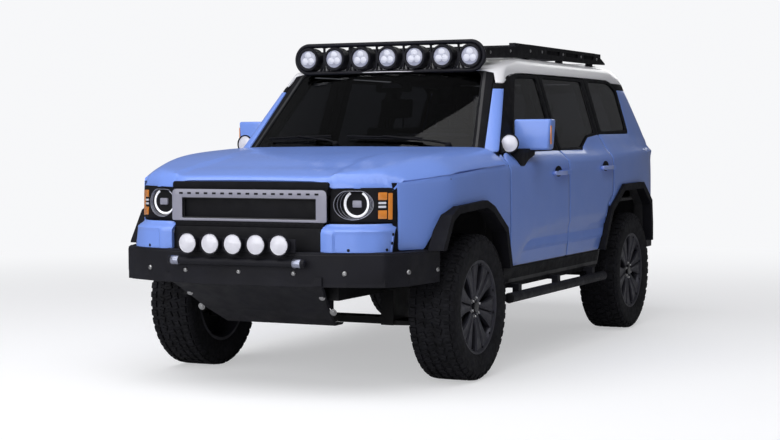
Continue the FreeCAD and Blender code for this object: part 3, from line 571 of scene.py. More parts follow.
def coated_steel(name, colour):
    """Textured powder coat: fine blisters, worn a little smoother in broad patches."""
    f = Finish(name, colour, 0.5)
    f.vary_colour(f.noise(7.0, 5.0), 0.8, 1.3)
    f.vary_gloss(f.noise(14.0, 4.0), 0.42, 0.62)
    f.set("Specular IOR Level", 0.16)
    f.raise_by(f.cells(520.0), 0.35, 0.0008)
    return f.mat


def grained_plastic(name, colour, roughness=0.62, grain=650.0):
    """Moulded plastic with a leather-like grain."""
    f = Finish(name, colour, roughness)
    f.vary_colour(f.noise(5.0, 4.0), 0.85, 1.2)
    f.vary_gloss(f.noise(20.0, 3.0), roughness - 0.08, roughness + 0.1)
    f.set("Specular IOR Level", 0.14)
    f.raise_by(f.cells(grain, "SMOOTH_F1"), 0.4, 0.0006)
    return f.mat


def cast_metal(name, colour, roughness=0.4, metallic=0.9):
    """Painted or bare cast metal with slight unevenness and dust in the lows."""
    f = Finish(name, colour, roughness, metallic)
    f.vary_colour(f.noise(11.0, 5.0), 0.78, 1.15)
    f.vary_gloss(f.noise(24.0, 4.0), roughness - 0.08, roughness + 0.14)
    f.raise_by(f.noise(420.0, 2.0), 0.18, 0.0005)
    return f.mat


def rubber(name, colour):
    """Tyre rubber with dust, scuffs and a fine moulded skin."""
    f = Finish(name, colour, 0.78)
    f.vary_colour(f.noise(17.0, 6.0), 0.7, 1.9)
    f.vary_gloss(f.noise(40.0, 3.0), 0.68, 0.9)
    f.set("Specular IOR Level", 0.2)
    f.raise_by(f.noise(340.0, 4.0), 0.4, 0.0008)
    return f.mat


def woven(name, colour, scale=900.0):
    """Seat fabric: two crossed threads, with soft sheen."""
    f = Finish(name, colour, 0.9)
    f.vary_colour(f.noise(26.0, 5.0), 0.75, 1.3)
    f.set("Sheen Weight", 0.25)
    f.raise_by(f.wave(scale, "X"), 0.35, 0.0006)
    f.raise_by(f.wave(scale, "Z"), 0.35, 0.0006)
    return f.mat


def tinted_glass(name, colour):
    f = Finish(name, colour, 0.0)
    f.set("Transmission Weight", 1.0).set("IOR", 1.22)
    f.raise_by(f.noise(3.0, 1.0), 0.02, 0.001)
    return f.mat


def lens(name, colour, glow=0.0, ribs=260.0):
    """Moulded lens with fine flutes. Glow is for a strip that is lit."""
    f = Finish(name, colour, 0.12)
    f.set("Coat Weight", 1.0).set("Coat Roughness", 0.03)
    f.vary_colour(f.noise(30.0, 2.0), 0.95, 1.05)
    f.raise_by(f.wave(ribs, "X"), 0.25, 0.0008)
    if glow:
        f.set("Emission Color", f.colour).set("Emission Strength", glow)
    return f.mat


BODY_COLOUR = (0.185, 0.310, 0.800)
BLUE = paint("body_blue", BODY_COLOUR)
WHITE = paint("roof_white", (0.86, 0.86, 0.90))
# Painted highlight: the grips' paint is paler than the body blue, for the light they catch.
HANDLE_PAINTED_HIGHLIGHT = paint("handle_blue", (0.330, 0.430, 0.860))
STEEL = coated_steel("black_powder_coat", (0.009, 0.009, 0.013))
TRIM = grained_plastic("black_trim", (0.006, 0.006, 0.008))
FLARE = grained_plastic("flare_plastic", (0.006, 0.006, 0.009), 0.66, 480.0)
GLOSS_BLACK = paint("gloss_black", (0.007, 0.007, 0.010))
GRILLE = paint("grille_lilac", (0.265, 0.265, 0.335))
CHASSIS = coated_steel("chassis_black", (0.005, 0.005, 0.006))
CAST = cast_metal("cast_iron", (0.060, 0.058, 0.056), 0.55, 0.7)
BRIGHT = cast_metal("bright_steel", (0.34, 0.36, 0.46), 0.34, 1.0)
BOLT = cast_metal("zinc_bolt", (0.36, 0.36, 0.37), 0.34, 1.0)
ALLOY = cast_metal("dark_alloy", (0.036, 0.036, 0.048), 0.42, 0.5)
RUBBER = rubber("tyre_rubber", (0.006, 0.006, 0.008))
SEAL = grained_plastic("window_seal", (0.005, 0.005, 0.007), 0.7, 900.0)
GLASS = tinted_glass("tinted_glass", (0.060, 0.062, 0.070))
SCREEN = tinted_glass("windscreen_glass", (0.070, 0.073, 0.080))
WHITE_LENS = lens("white_lens", (0.70, 0.70, 0.78), 0.03)
AMBER = lens("amber_lens", (0.66, 0.22, 0.028), 0.04)
RED = lens("red_lens", (0.36, 0.010, 0.012))
HALO = lens("halo_light", (0.92, 0.93, 1.0), 0.35)
REFLECTOR = lens("grey_reflector", (0.36, 0.37, 0.46), 0.0, 120.0)
LOBE = lens("pale_reflector", (0.62, 0.63, 0.72), 0.0, 120.0)
MIRROR = cast_metal("mirror_silver", (0.80, 0.82, 0.85), 0.05, 1.0)
FABRIC = woven("seat_fabric", (0.050, 0.050, 0.056))
DASH = grained_plastic("dash_plastic", (0.035, 0.035, 0.040), 0.6, 700.0)
CARPET = woven("floor_carpet", (0.022, 0.022, 0.025), 300.0)
print("finishes", len(MATERIALS))

# %% Finish for the inner structure of doors and sides
LINING_AND_GAP_SHADE_COLOUR = (0.022, 0.022, 0.025)
JAMB_X, SILL_TOP, BELT_LOW, ARCH_REACH = 0.896, 0.602, 1.264, 0.40


def painted_core():
    """Body colour on the outer jambs, black inside, below, above the belt and in the arch.
    Inside, the black is the lining on the inner faces and painted shade deeper in the shut
    gaps, where the real jambs stay body colour.
    """
    f = Finish("door_core", LINING_AND_GAP_SHADE_COLOUR, 0.55)

    def maths(kind, *values):
        return add_node(f.tree, "ShaderNodeMath", dict(enumerate(values)),
                        operation=kind).outputs[0]

    across, along, height = add_node(f.tree, "ShaderNodeSeparateXYZ", {0: f.place}).outputs
    back = maths("SUBTRACT", along, AXLE_Y + REAR_AXLE)
    up = maths("SUBTRACT", height, WHEEL_Z)
    reach = maths("ADD", maths("MULTIPLY", back, back), maths("MULTIPLY", up, up))
    # Painted shade: jamb faces deeper than JAMB_X turn black, so the shut gaps read dark.
    painted = maths("GREATER_THAN", maths("ABSOLUTE", across), JAMB_X)
    for test in (maths("GREATER_THAN", height, SILL_TOP), maths("LESS_THAN", height, BELT_LOW),
                 maths("GREATER_THAN", reach, ARCH_REACH)):
        painted = maths("MULTIPLY", painted, test)
    mix = add_node(f.tree, "ShaderNodeMix",
                   {"Factor": painted, "A": LINING_AND_GAP_SHADE_COLOUR + (1,), "B": BODY_COLOUR + (1,)},
                   data_type="RGBA")
    f.link(mix.outputs["Result"], "Base Color")
    f.vary_gloss(f.noise(12.0, 3.0), 0.45, 0.62)
    f.raise_by(f.noise(420.0, 2.0), 0.15, 0.0005)
    return f.mat


CORE = painted_core()


def dress(node, material):
    """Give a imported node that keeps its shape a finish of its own."""
    obj = NODES[node]
    obj.data.materials.clear()
    obj.data.materials.append(material)


print("core finish ready")

# %% [markdown]
# ## The body's surface
# One surface carries every outer panel, so the panels meet in a smooth line. Below the windows
# the side is nearly upright up to a soft shoulder crease that climbs to the rear. Above it the
# side leans in to the windows. At the nose it narrows, and at the rear it turns the corner.

# %% Side of the body
BELT_Z, BELT_X = 1.290, 0.867  # the line between the lower side and the windows
REAR_Y, REAR_BOW = 3.750, 0.016  # the rear face's place, and how far its middle stands out
BEND_S, FULL_X = 2.5, 0.952  # where the side starts to turn, and its widest half
CORNER_S, CORNER_Y, CORNER_X = 3.78, 3.733, 0.183  # where the corner ends on the rear face
REAR_RUN = 0.767  # from there to the middle, along the rear face
LOWER = [(0.46, 0.904), (0.50, 0.914), (0.60, 0.9385), (0.72, 0.950), (0.95, 0.954),
         (1.12, 0.952), (1.30, 0.949)]
UPPER = [(BELT_Z, BELT_X), (1.45, 0.823), (1.60, 0.779), (1.70, 0.749), (1.775, 0.726),
         (1.802, 0.709), (1.850, 0.660), (1.872, 0.585), (1.888, 0.475)]
CREASE = [(-0.75, 1.124), (-0.60, 1.128), (0.18, 1.184), (1.385, 1.202), (2.4, 1.222),
          (3.8, 1.254)]
NOSE = [(-0.76, 0.748), (-0.73, 0.773), (-0.64, 0.829), (-0.50, 0.893), (-0.35, 0.942),
        (-0.20, 0.951), (0.2, 0.952)]
FACET = [(0.40, 0.48), (0.583, 0.609), (0.710, 0.701), (0.813, 0.759), (1.026, 0.800),
         (1.534, 0.820), (2.30, 0.826), (2.6, 0.826)]
REAR = [(0.50, 3.668), (0.70, 3.746), (0.95, 3.750), (1.195, 3.747), (1.290, 3.706),
        (1.55, 3.570), (1.775, 3.451), (1.802, 3.436), (1.850, 3.391), (1.885, 3.206)]
CORNER = [(BEND_S, 0.0, BEND_S, 0.0), (2.9, 0.008, 2.9, 0.3), (3.31, 0.034, 3.31, 0.9),
          (3.595, 0.077, 3.595, 1.0), (3.70, 0.122, 3.690, 1.0),
          (CORNER_S, CORNER_X, CORNER_Y, 1.0)]
TIGHT = [(BEND_S, 0.0, BEND_S, 0.0), (3.15, 0.0, 3.15, 0.0), (3.31, 0.002, 3.31, 0.34),
         (3.50, 0.008, 3.50, 0.78), (3.60, 0.014, 3.60, 0.94), (3.66, 0.024, 3.66, 1.0),
         (3.71, 0.056, 3.705, 1.0), (3.745, 0.105, 3.725, 1.0), (CORNER_S, CORNER_X, CORNER_Y, 1.0)]


def steps_up(value, width):
    """0 below, 1 above, along a smooth rise."""
    t = max(0.0, min(1.0, value / width + 0.5))
    return t * t * (3 - 2 * t)


def half_width(s, z):
    """How far out the side stands at a station and a height."""
    crease = smooth_table(CREASE, s)[0]
    fill = 0.030 * steps_up(s - 2.38, 0.40) * max(0.0, 1 - ((z - 1.296) / 0.075) ** 2) ** 2
    if z >= BELT_Z:
        return smooth_table(UPPER, z)[0] + fill
    total = 0.0
    for k in range(-2, 3):
        h = z + 0.008 * k
        low = smooth_table(LOWER, h)[0]
        if h > crease:
            t = (h - crease) / (BELT_Z - crease)
            low += (BELT_X - low) * min(1.15, t) ** 1.12
        total += low
    half = total / 5
    facet = smooth_table(FACET, s)[0]
    half -= 0.011 * steps_up(facet - z - 0.012, 0.030)
    if s < 0.2:
        half *= smooth_table(NOSE, s)[0] / FULL_X
    return half + fill


def side(s, z):
    """Point of the left side. s is y, measured round the rear corner."""
    half = half_width(s, z)
    if s <= BEND_S:
        return (half, s, z)
    up = steps_up(z - BELT_Z, 0.20)
    inset, y, share = (a + (b - a) * up for a, b in zip(smooth_table(CORNER, s),
                                                        smooth_table(TIGHT, s)))
    back = smooth_table(REAR, z)[0] - REAR_Y
    if s > CORNER_S:
        across = (half - CORNER_X) * (1 - (s - CORNER_S) / REAR_RUN)
        return (across, y + back + REAR_BOW * (1 - (across / (half - CORNER_X)) ** 2), z)
    return (half - inset, y + back * share, z)


def rear(x, z):
    """Point of the rear face."""
    half = half_width(3.7, z) - CORNER_X
    back = smooth_table(REAR, z)[0]
    return (x, CORNER_Y + back - REAR_Y + REAR_BOW * (1 - (x / half) ** 2), z)


def bowed(x, half):
    """Share of the windscreen's bow at a place across it."""
    return 1 - (abs(x) / half / 0.88) ** 2.6


def screen_edge(z):
    """How far out the windscreen's opening reaches at a height."""
    return 0.800 - 0.225 * (z - 1.255)


def screen(x, z):
    """Point of the windscreen's curved face."""
    up = (z - BELT_Z) / 0.485
    half = 0.862 - 0.140 * up
    front = 0.455 + 0.450 * up
    bow = 0.150 - 0.075 * up
    return (x, front - bow * bowed(x, half), z)


SHOWN = {side: OUTWARD, screen: FORWARD, rear: BACKWARD}


def sunk(surface, depth):
    """The same surface, a little deeper along its normal."""
    def deeper(a, b):
        e = 0.004
        p = Vector(surface(a, b))
        da = Vector(surface(a + e, b)) - Vector(surface(a - e, b))
        db = Vector(surface(a, b + e)) - Vector(surface(a, b - e))
        n = da.cross(db).normalized()
        if n.dot(Vector(SHOWN[surface])) < 0:
            n.negate()
        return tuple(p - n * depth)
    return deeper


print("side at the door", [round(v, 3) for v in side(1.0, 1.0)])

# %% [markdown]
# ## Doors, wings and rear quarters
# The sheets lie outside the imported doors and sides, which show as the painted jambs and the
# lining, with black deeper in the shut gaps as painted shade. Window frames are black, so the
# glass looks like one band.

# %% Outlines of the side panels
DOOR_FRONT = [(0.506, 0.602), (0.506, 1.236), (0.560, 1.268), (1.534, 1.276), (1.534, 0.602)]
DOOR_REAR = [(1.546, 0.602), (1.546, 1.276), (2.006, 1.276), (2.206, 1.358), (2.444, 1.377),
             (2.444, 0.972), (2.347, 0.910), (2.188, 0.602)]
FRAME_FRONT = [(0.540, 1.272, 0.004), (0.906, 1.690, 0.02), (0.960, 1.732, 0.03),
               (1.070, 1.753, 0.03), (1.534, 1.757, 0.01), (1.534, 1.279, 0.004)]
FRAME_REAR = [(1.546, 1.279, 0.004), (1.546, 1.757, 0.01), (2.434, 1.757, 0.01),
              (2.446, 1.380, 0.004), (2.206, 1.361, 0.004), (2.006, 1.279, 0.004)]
GLASS_FRONT = [(0.742, 1.290), (1.118, 1.730), (1.488, 1.738), (1.488, 1.290)]
GLASS_REAR = [(1.600, 1.292), (1.600, 1.741), (2.375, 1.741), (2.380, 1.392), (2.212, 1.376),
              (2.012, 1.294)]
GLASS_QUARTER = [(2.520, 1.398), (2.520, 1.745), (2.975, 1.745, 0.05), (3.108, 1.690, 0.03),
                 (3.105, 1.412, 0.04)]
FRAME_QUARTER = [(2.456, 1.381, 0.004), (2.446, 1.762, 0.01), (2.990, 1.762, 0.05),
                 (3.143, 1.702, 0.02), (3.140, 1.388, 0.035)]
ARCH_REAR = [(2.215, 0.600), (2.400, 0.868), (2.660, 0.995), (3.100, 0.998), (3.290, 0.870),
             (3.340, 0.540)]
ARCH_FRONT = [(-0.556, 0.770), (-0.440, 0.925), (-0.345, 0.962), (0.065, 0.980),
              (0.165, 0.945), (0.352, 0.818), (0.424, 0.590)]
WING = ([(-0.704, 0.770), (-0.708, 1.124, 0.005), (-0.60, 1.136), (-0.352, 1.159),
         (-0.20, 1.168), (0.18, 1.190), (0.430, 1.199), (0.440, 1.250), (0.486, 1.262),
         (0.486, 0.602)]
        + ARCH_FRONT[::-1])
QUARTER = ([(2.456, 0.966), (2.456, 1.378), (3.146, 1.383, 0.03), (3.149, 1.700),
            (3.764, 1.700, 0.003), (3.768, 1.290), (3.815, 1.270), (3.848, 1.250),
            (3.851, 1.222, 0.002), (3.703, 1.222, 0.006), (3.703, 0.901, 0.006),
            (3.851, 0.901, 0.002), (3.851, 0.752), (3.68, 0.590), (3.345, 0.590)]
           + ARCH_REAR[::-1][1:-1] + [(2.352, 0.903)])
BAND = [(3.150, 1.703), (3.045, 1.744), (3.770, 1.744), (3.770, 1.703)]
NOSE_LINES = [[(-0.690 + 0.027 * k, 0.775), (-0.690 + 0.027 * k, 1.115)] for k in range(8)]
TURN_LINES = [[(3.25 + 0.05 * k, 0.60), (3.25 + 0.05 * k, 1.695)] for k in range(8)]
TURN_LINES += [[(3.66 + 0.02 * k, 0.62), (3.66 + 0.02 * k, 1.695)] for k in range(8)]

BELOW = [(0.583, 0.609), (0.710, 0.701), (0.813, 0.759), (1.026, 0.800), (1.534, 0.820),
         (2.30, 0.826)]
DOOR_LINES = [[(y, z - 0.028) for y, z in BELOW[1:]], [(y, z + 0.004) for y, z in BELOW[1:]]]
SHOULDER = [[(y, z - 0.02) for y, z in CREASE], [(y, z + 0.005) for y, z in CREASE],
            [(y, z + 0.025) for y, z in CREASE]]

# %% Door skins and frames
def window_frame(name, outline, window):
    return panel(name, rounded(outline, 0.02), side, SEAL, [rounded(window, 0.035)], grid=0.05,
                 thick=0.02, edge=0.002)


def window_pane(name, window, scale):
    """Glass a little larger than its opening, behind the frame."""
    ring = rounded(window, 0.03)
    centre = sum(ring, Vector((0, 0))) / len(ring)
    return panel(name, [centre + (p - centre) * scale for p in ring], sunk(side, 0.008), GLASS,
                 grid=0.06, thick=0.004, edge=0)


for stem, outline, frame_line, glass_line in (
        ("front_door", DOOR_FRONT, FRAME_FRONT, GLASS_FRONT),
        ("rear_door", DOOR_REAR, FRAME_REAR, GLASS_REAR)):
    skin = panel(stem + "_skin", rounded(outline, 0.02), side, BLUE, grid=0.04,
                 lines=DOOR_LINES + SHOULDER)
    both(skin, stem)
    both(window_frame(stem + "_frame", frame_line, glass_line), stem)
    both(window_pane(stem + "_pane", glass_line, 1.012), stem, stem + "_glass")
    for side_name in ("left", "right"):
        dress(stem + "_" + side_name, CORE)
print("doors dressed")

# %% Wings, quarters and their windows
DOOR_SWEEP, THIN_SHARE = 0.45, 0.33  # the wall is thin where the door's front edge swings past
wing = panel("wing_skin", rounded(WING, 0.012), side, BLUE, grid=0.04,
             lines=SHOULDER[:1] + NOSE_LINES)
for v in wing.data.vertices:
    back = v.co.y - AXLE_Y
    if back > DOOR_SWEEP:
        face = side(back, v.co.z)[0]
        v.co.x = face + (v.co.x - face) * THIN_SHARE
both(wing, "root")
quarter = panel("quarter_skin", rounded(QUARTER, 0.02), side, BLUE, grid=0.04,
                lines=SHOULDER + TURN_LINES)
both(quarter, "root")
both(window_frame("quarter_frame", FRAME_QUARTER, GLASS_QUARTER), "root")
left = both(window_pane("quarter_pane", GLASS_QUARTER, 1.015), "root")[0]
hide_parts("quarter_windows")
band = panel("rear_pillar_band", rounded(BAND, 0.004), side, SEAL, grid=0.025)
both(band, "root")
sill = panel("sill_cover", rounded([(0.430, 0.470), (0.430, 0.592), (2.200, 0.592),
                                    (2.235, 0.480), (2.200, 0.470)], 0.01),
             side, TRIM, grid=0.06, thick=0.02)
both(sill, "root")
print("wings and quarters dressed")


# %% Windscreen, its pillars and the white roof
def pillar(u, z):
    """Point of the front pillar, from the windscreen's edge round to the door's frame."""
    a = Vector(screen(screen_edge(z), z))
    half = half_width(1.0, z) if z >= BELT_Z else BELT_X
    c = Vector((half, 0.508 + 0.933 * (z - 1.268), z))
    b = Vector((half * 0.992, c.y - 0.035, z))
    return tuple(soft_bend(a, b, c, u))


def strip(name, z0, z1, material, rows=24, lift=0.0):
    verts = []
    cols = 10
    for j in range(rows + 1):
        z = z0 + (z1 - z0) * j / rows
        for i in range(cols + 1):
            u = 0.02 + 0.96 * i / cols
            x, y, h = pillar(u, z)
            verts.append((x + lift, y - lift, h))
    obj = make_object(name, verts, ring_faces(rows + 1, cols + 1, False), material)
    thicken(obj, 0.02, OUTWARD)
    return bevel(obj, 0.004, 2, 50.0)


both(strip("front_pillar", 1.276, 1.656, BLUE, lift=0.004), "root")
both(strip("front_pillar_band", 1.659, 1.690, SEAL, 4, 0.003), "root")

LEVEL = [(1.690, 0.819, 0.088), (1.775, 0.905, 0.075), (1.802, 0.985, 0.060),
         (1.850, 1.290, 0.020), (1.872, 1.52, 0.010), (1.888, 1.750, 0.0)]


def cap_point(t, z):
    """Point of the roof's rings. t runs from the front middle to the rear middle."""
    front, bow = straight_table(LEVEL, z)
    half = smooth_table(UPPER, z)[0]
    edge = min(screen_edge(z), half * 0.935)
    if t < 0.25:
        x = edge * t / 0.25
        return (x, front - bow * bowed(x, half), z)
    if t < 0.40:
        u = (t - 0.25) / 0.15
        a = Vector((edge, front - bow * bowed(edge, half), z))
        b = Vector((half * 0.992, front + 0.040, z))
        c = Vector((half, front + 0.078, z))
        return tuple(soft_bend(a, b, c, u))
    if t < 0.70:
        u = (t - 0.40) / 0.30
        y0 = front + 0.078
        return (half, y0 + (BEND_S - y0) * u, z)
    if t < 0.90:
        return side(BEND_S + (CORNER_S - BEND_S) * (t - 0.70) / 0.20, z)
    return side(CORNER_S + REAR_RUN * (t - 0.90) / 0.10, z)


CAP_EDGE = [(0.0, 1.771), (0.21, 1.771), (0.25, 1.757), (0.28, 1.700), (0.30, 1.693),
            (0.398, 1.693), (0.404, 1.702), (0.415, 1.736), (0.435, 1.759), (0.46, 1.765),
            (0.770, 1.768), (0.784, 1.751), (0.79, 1.748), (0.895, 1.748), (0.91, 1.762),
            (1.0, 1.762)]


def roof_cap():
    """White roof in rings, from its lower edge up to the flat top, closed in the middle."""
    stations = [0.0, 0.06, 0.12, 0.18, 0.21, 0.23, 0.25, 0.265, 0.28, 0.29, 0.30, 0.32, 0.34,
                0.36, 0.375, 0.385, 0.398, 0.404, 0.409, 0.415, 0.425, 0.435, 0.46, 0.50, 0.55,
                0.60, 0.65, 0.70, 0.73, 0.76, 0.770, 0.777, 0.784, 0.79, 0.80, 0.82, 0.84,
                0.855, 0.869, 0.876, 0.881, 0.885, 0.889, 0.892, 0.8945, 0.8975, 0.90, 0.905,
                0.915, 0.94, 0.97, 1.0]
    heights = [None, 0.25, 0.5, 0.75, 1.775, 1.789, 1.802, 1.818, 1.834, 1.850, 1.862, 1.872,
               1.881, 1.888]
    rings = []
    for h in heights:
        left_half = []
        for t in stations:
            low = smooth_table(CAP_EDGE, t)[0]
            z = h if h and h > 1 else low + (1.775 - low) * (h or 0.0)
            left_half.append(cap_point(t, max(z, low)))
        rings.append(left_half + [(-x, y, z) for x, y, z in left_half[-2:0:-1]])
    for share, z in ((0.75, 1.890), (0.5, 1.891), (0.25, 1.892)):
        rings.append([(x * share, 2.45 + (y - 2.45) * (0.6 + 0.4 * share), z)
                      for x, y, _ in rings[-1 if share == 0.75 else len(heights) - 1]])
    n = len(rings[0])
    verts = [p for r in rings for p in r]
    faces = ring_faces(len(rings), n)
    last = (len(rings) - 1) * n
    for i in range(n // 2):
        a, b = i, (n - i) % n
        c, d = i + 1, n - i - 1
        corners = [last + a, last + c, last + d, last + b]
        unique = list(dict.fromkeys(corners))
        if len(unique) > 2:
            faces.append(tuple(unique))
    obj = make_object("roof_cap", verts, faces, WHITE)
    thicken(obj, 0.008, UPWARD)
    return bevel(obj, 0.002, 2, 60.0)


done(roof_cap(), "root")
SCREEN_EDGE = [(-0.735, 1.268), (-0.612, 1.766), (0.612, 1.766), (0.735, 1.268)]
glass = panel("windscreen_pane", rounded(SCREEN_EDGE, 0.05), sunk(screen, 0.004), SCREEN,
              grid=0.06, thick=0.005, edge=0, outwards=(0, -1, 0.5))
done(glass, "root", ("windscreen",))
seal = panel("windscreen_seal", rounded([(-0.797, 1.256), (-0.683, 1.770), (0.683, 1.770),
                                         (0.797, 1.256)], 0.02),
             sunk(screen, 0.001), SEAL, [rounded(SCREEN_EDGE, 0.05)], grid=0.05, thick=0.014,
             edge=0.002, outwards=(0, -1, 0.5))
done(seal, "root")
print("roof cap and windscreen dressed")

# %% [markdown]
# ## Hood
# The hood is one pressed sheet that wraps over the shoulders down to the shut line. Its middle
# lies a little lower than the two fender tops, with a soft crease on each side.

# %% Hood
HOOD = [(-0.890, 0.440, 1.130, 0.420, 1.150, 1.152), (-0.836, 0.592, 1.128, 0.560, 1.162, 1.168),
        (-0.730, 0.768, 1.131, 0.715, 1.181, 1.192), (-0.640, 0.826, 1.138, 0.768, 1.196, 1.206),
        (-0.500, 0.888, 1.151, 0.812, 1.219, 1.233), (-0.352, 0.940, 1.164, 0.850, 1.242, 1.255),
        (-0.200, 0.951, 1.173, 0.866, 1.259, 1.272), (0.200, 0.952, 1.196, 0.868, 1.291, 1.306),
        (0.440, 0.952, 1.204, 0.868, 1.300, 1.318)]
FENDER = [(-0.90, 0.462), (-0.75, 0.465), (-0.60, 0.452), (-0.42, 0.430), (-0.20, 0.450),
          (0.10, 0.500), (0.45, 0.530)]
HOOD_EDGE = [(-0.952, 0.200), (-0.943, -0.352), (-0.892, -0.500), (-0.829, -0.640),
             (-0.771, -0.730), (-0.598, -0.838), (-0.450, -0.888), (0.450, -0.888),
             (0.598, -0.838), (0.771, -0.730), (0.829, -0.640), (0.892, -0.500),
             (0.943, -0.352), (0.952, 0.200), (0.950, 0.430), (0.759, 0.422),
             (0.474, 0.310), (0.240, 0.272), (-0.240, 0.272), (-0.474, 0.310),
             (-0.759, 0.422), (-0.942, 0.430)]


def hood(x, y):
    """Point of the hood's outer face."""
    half, low, edge, high, middle = smooth_table(HOOD, y)
    a = abs(x)
    start = edge * 0.90
    crown = (middle - high) / edge**2
    z = middle - crown * min(a, start) ** 2
    raised = 0.010 * steps_up(a - smooth_table(FENDER, y)[0] - 0.014, 0.030)
    raised *= 1 - steps_up(y - 0.05, 0.5)
    if a > start:
        t = min(1.0, (a - start) / (half - start))
        span = half - start
        z = ((2 * t**3 - 3 * t**2 + 1) * z + (t**3 - 2 * t**2 + t) * (-2 * crown * start * span)
             + (3 * t**2 - 2 * t**3) * low + (t**3 - t**2) * 1.9 * (low - z))
        raised *= (1 - t) ** 2
    nose = straight_table([(0.0, -0.888), (0.44, -0.886), (0.592, -0.838), (0.762, -0.728),
                           (0.810, -0.672)], a)[0]
    ahead = max(0.0, 1 - (y - nose) / 0.030)
    drop = (0.014 + 0.010 * steps_up(a - 0.478, 0.030)) * (1 - steps_up(a - 0.798, 0.024))
    return (x, y, z + raised - drop * ahead**2)


crease = [[(sign * (x + dx), y) for y, x in FENDER[:6]] for sign in (-1, 1)
          for dx in (0.0, 0.028)]
lip = [[(-0.77, -0.730 + d), (-0.60, -0.838 + d), (-0.45, -0.884 + d), (0.45, -0.884 + d),
        (0.60, -0.838 + d), (0.77, -0.730 + d)] for d in (0.008, 0.018, 0.030)]
lip += [[(sign * a, -0.90), (sign * a, -0.80)] for sign in (-1, 1) for a in (0.466, 0.492)]
skin = panel("hood_skin", rounded(HOOD_EDGE, 0.010), hood, BLUE, grid=0.035,
             lines=crease + lip, thick=0.016, edge=0.004, outwards=UPWARD)
done(skin, "hood", ("hood",))
under = panel("hood_liner", rounded([(p[0] * 0.93, -0.02 + (p[1] + 0.02) * 0.93)
                                     for p in HOOD_EDGE], 0.05),
              lambda x, y: (x, y, hood(x, y)[2] - 0.030), TRIM, grid=0.08, thick=0.008,
              outwards=(0, 0, -1))
done(under, "hood")
print("hood dressed")

# %% [markdown]
# ## Turned, swept and scattered shapes
# Lamps and bolts are turned about an axis. The bumper is one section swept along its path.
# Small things that repeat are scattered by a Geometry Nodes tree, made for each kind.

# %% Turned and swept shapes
def turned(name, profile, place, axis, material, segments=48, smooth=35.0):
    """Closed ring shape. The profile is (radius, height) pairs along an axis."""
    axis = Vector(axis).normalized()
    first = axis.orthogonal().normalized()
    second = axis.cross(first)
    place = Vector(place)
    verts = []
    for r, h in profile:
        for k in range(segments):
            a = 2 * math.pi * k / segments
            verts.append(place + axis * h + (first * math.cos(a) + second * math.sin(a)) * r)
    faces = ring_faces(len(profile), segments)
    if profile[0] != profile[-1]:
        for j in (0, len(profile) - 1):
            if profile[j][0] > 1e-6:
                faces.append(tuple(range(j * segments, (j + 1) * segments)))
    return make_object(name, [tuple(v) for v in verts], faces, material, smooth)


def swept(name, path, section, material):
    """A section of (outward, up) pairs swept along a path of (x, y) points, with end caps."""
    n, m = len(path), len(section)
    verts = []
    for i, p in enumerate(path):
        before = path[i - 1] if i else p * 2 - path[1]
        after = path[i + 1] if i < n - 1 else p * 2 - path[-2]
        one = (p - before).normalized()
        two = (after - p).normalized()
        across = (one + two).normalized()
        normal = Vector((across.y, -across.x)) / max(0.3, across.dot(two))
        for out, up in section:
            verts.append((p.x + normal.x * out, p.y + normal.y * out, up))
    return make_object(name, verts, ring_faces(n, m) + end_caps(n, m), material, 35.0)


def tube(name, points, radius, material, segments=20):
    """A round bar through points in space, with flat ends."""
    points = [Vector(p) for p in points]
    verts = []
    up = Vector((0, 0, 1))
    for i, p in enumerate(points):
        ahead = points[min(i + 1, len(points) - 1)] - points[max(i - 1, 0)]
        ahead.normalize()
        if abs(ahead.dot(up)) > 0.95:
            up = Vector((1, 0, 0))
        side_way = ahead.cross(up).normalized()
        up = side_way.cross(ahead).normalized()
        for k in range(segments):
            a = 2 * math.pi * k / segments
            verts.append(tuple(p + (side_way * math.cos(a) + up * math.sin(a)) * radius))
    faces = ring_faces(len(points), segments) + end_caps(len(points), segments)
    return make_object(name, verts, faces, material, 50.0)


def block(name, low, high, material, edge=0.003, segments=2):
    """A box between two corners, with round edges."""
    x, y, z = zip(low, high)
    verts = [(x[i], y[j], z[k]) for i in (0, 1) for j in (0, 1) for k in (0, 1)]
    faces = [(0, 1, 3, 2), (4, 6, 7, 5), (0, 4, 5, 1), (2, 3, 7, 6), (0, 2, 6, 4), (1, 5, 7, 3)]
    obj = make_object(name, verts, faces, material)
    return bevel(obj, edge, segments, 30.0) if edge else obj


def bent(points, radius):
    """An open path with round corners."""
    out = [Vector(points[0])]
    for a, b, c in zip(points, points[1:], points[2:]):
        a, b, c = Vector(a), Vector(b), Vector(c)
        r = min(radius, (a - b).length * 0.45, (c - b).length * 0.45)
        p = b + (a - b).normalized() * r
        q = b + (c - b).normalized() * r
        out += [soft_bend(p, b, q, k / BEND_STEPS) for k in range(BEND_STEPS + 1)]
    return out + [Vector(points[-1])]


# %% Scatter one item over many places with Geometry Nodes
SCATTER_INPUTS = {"Seed": 3, "Turn jitter": 0.0}


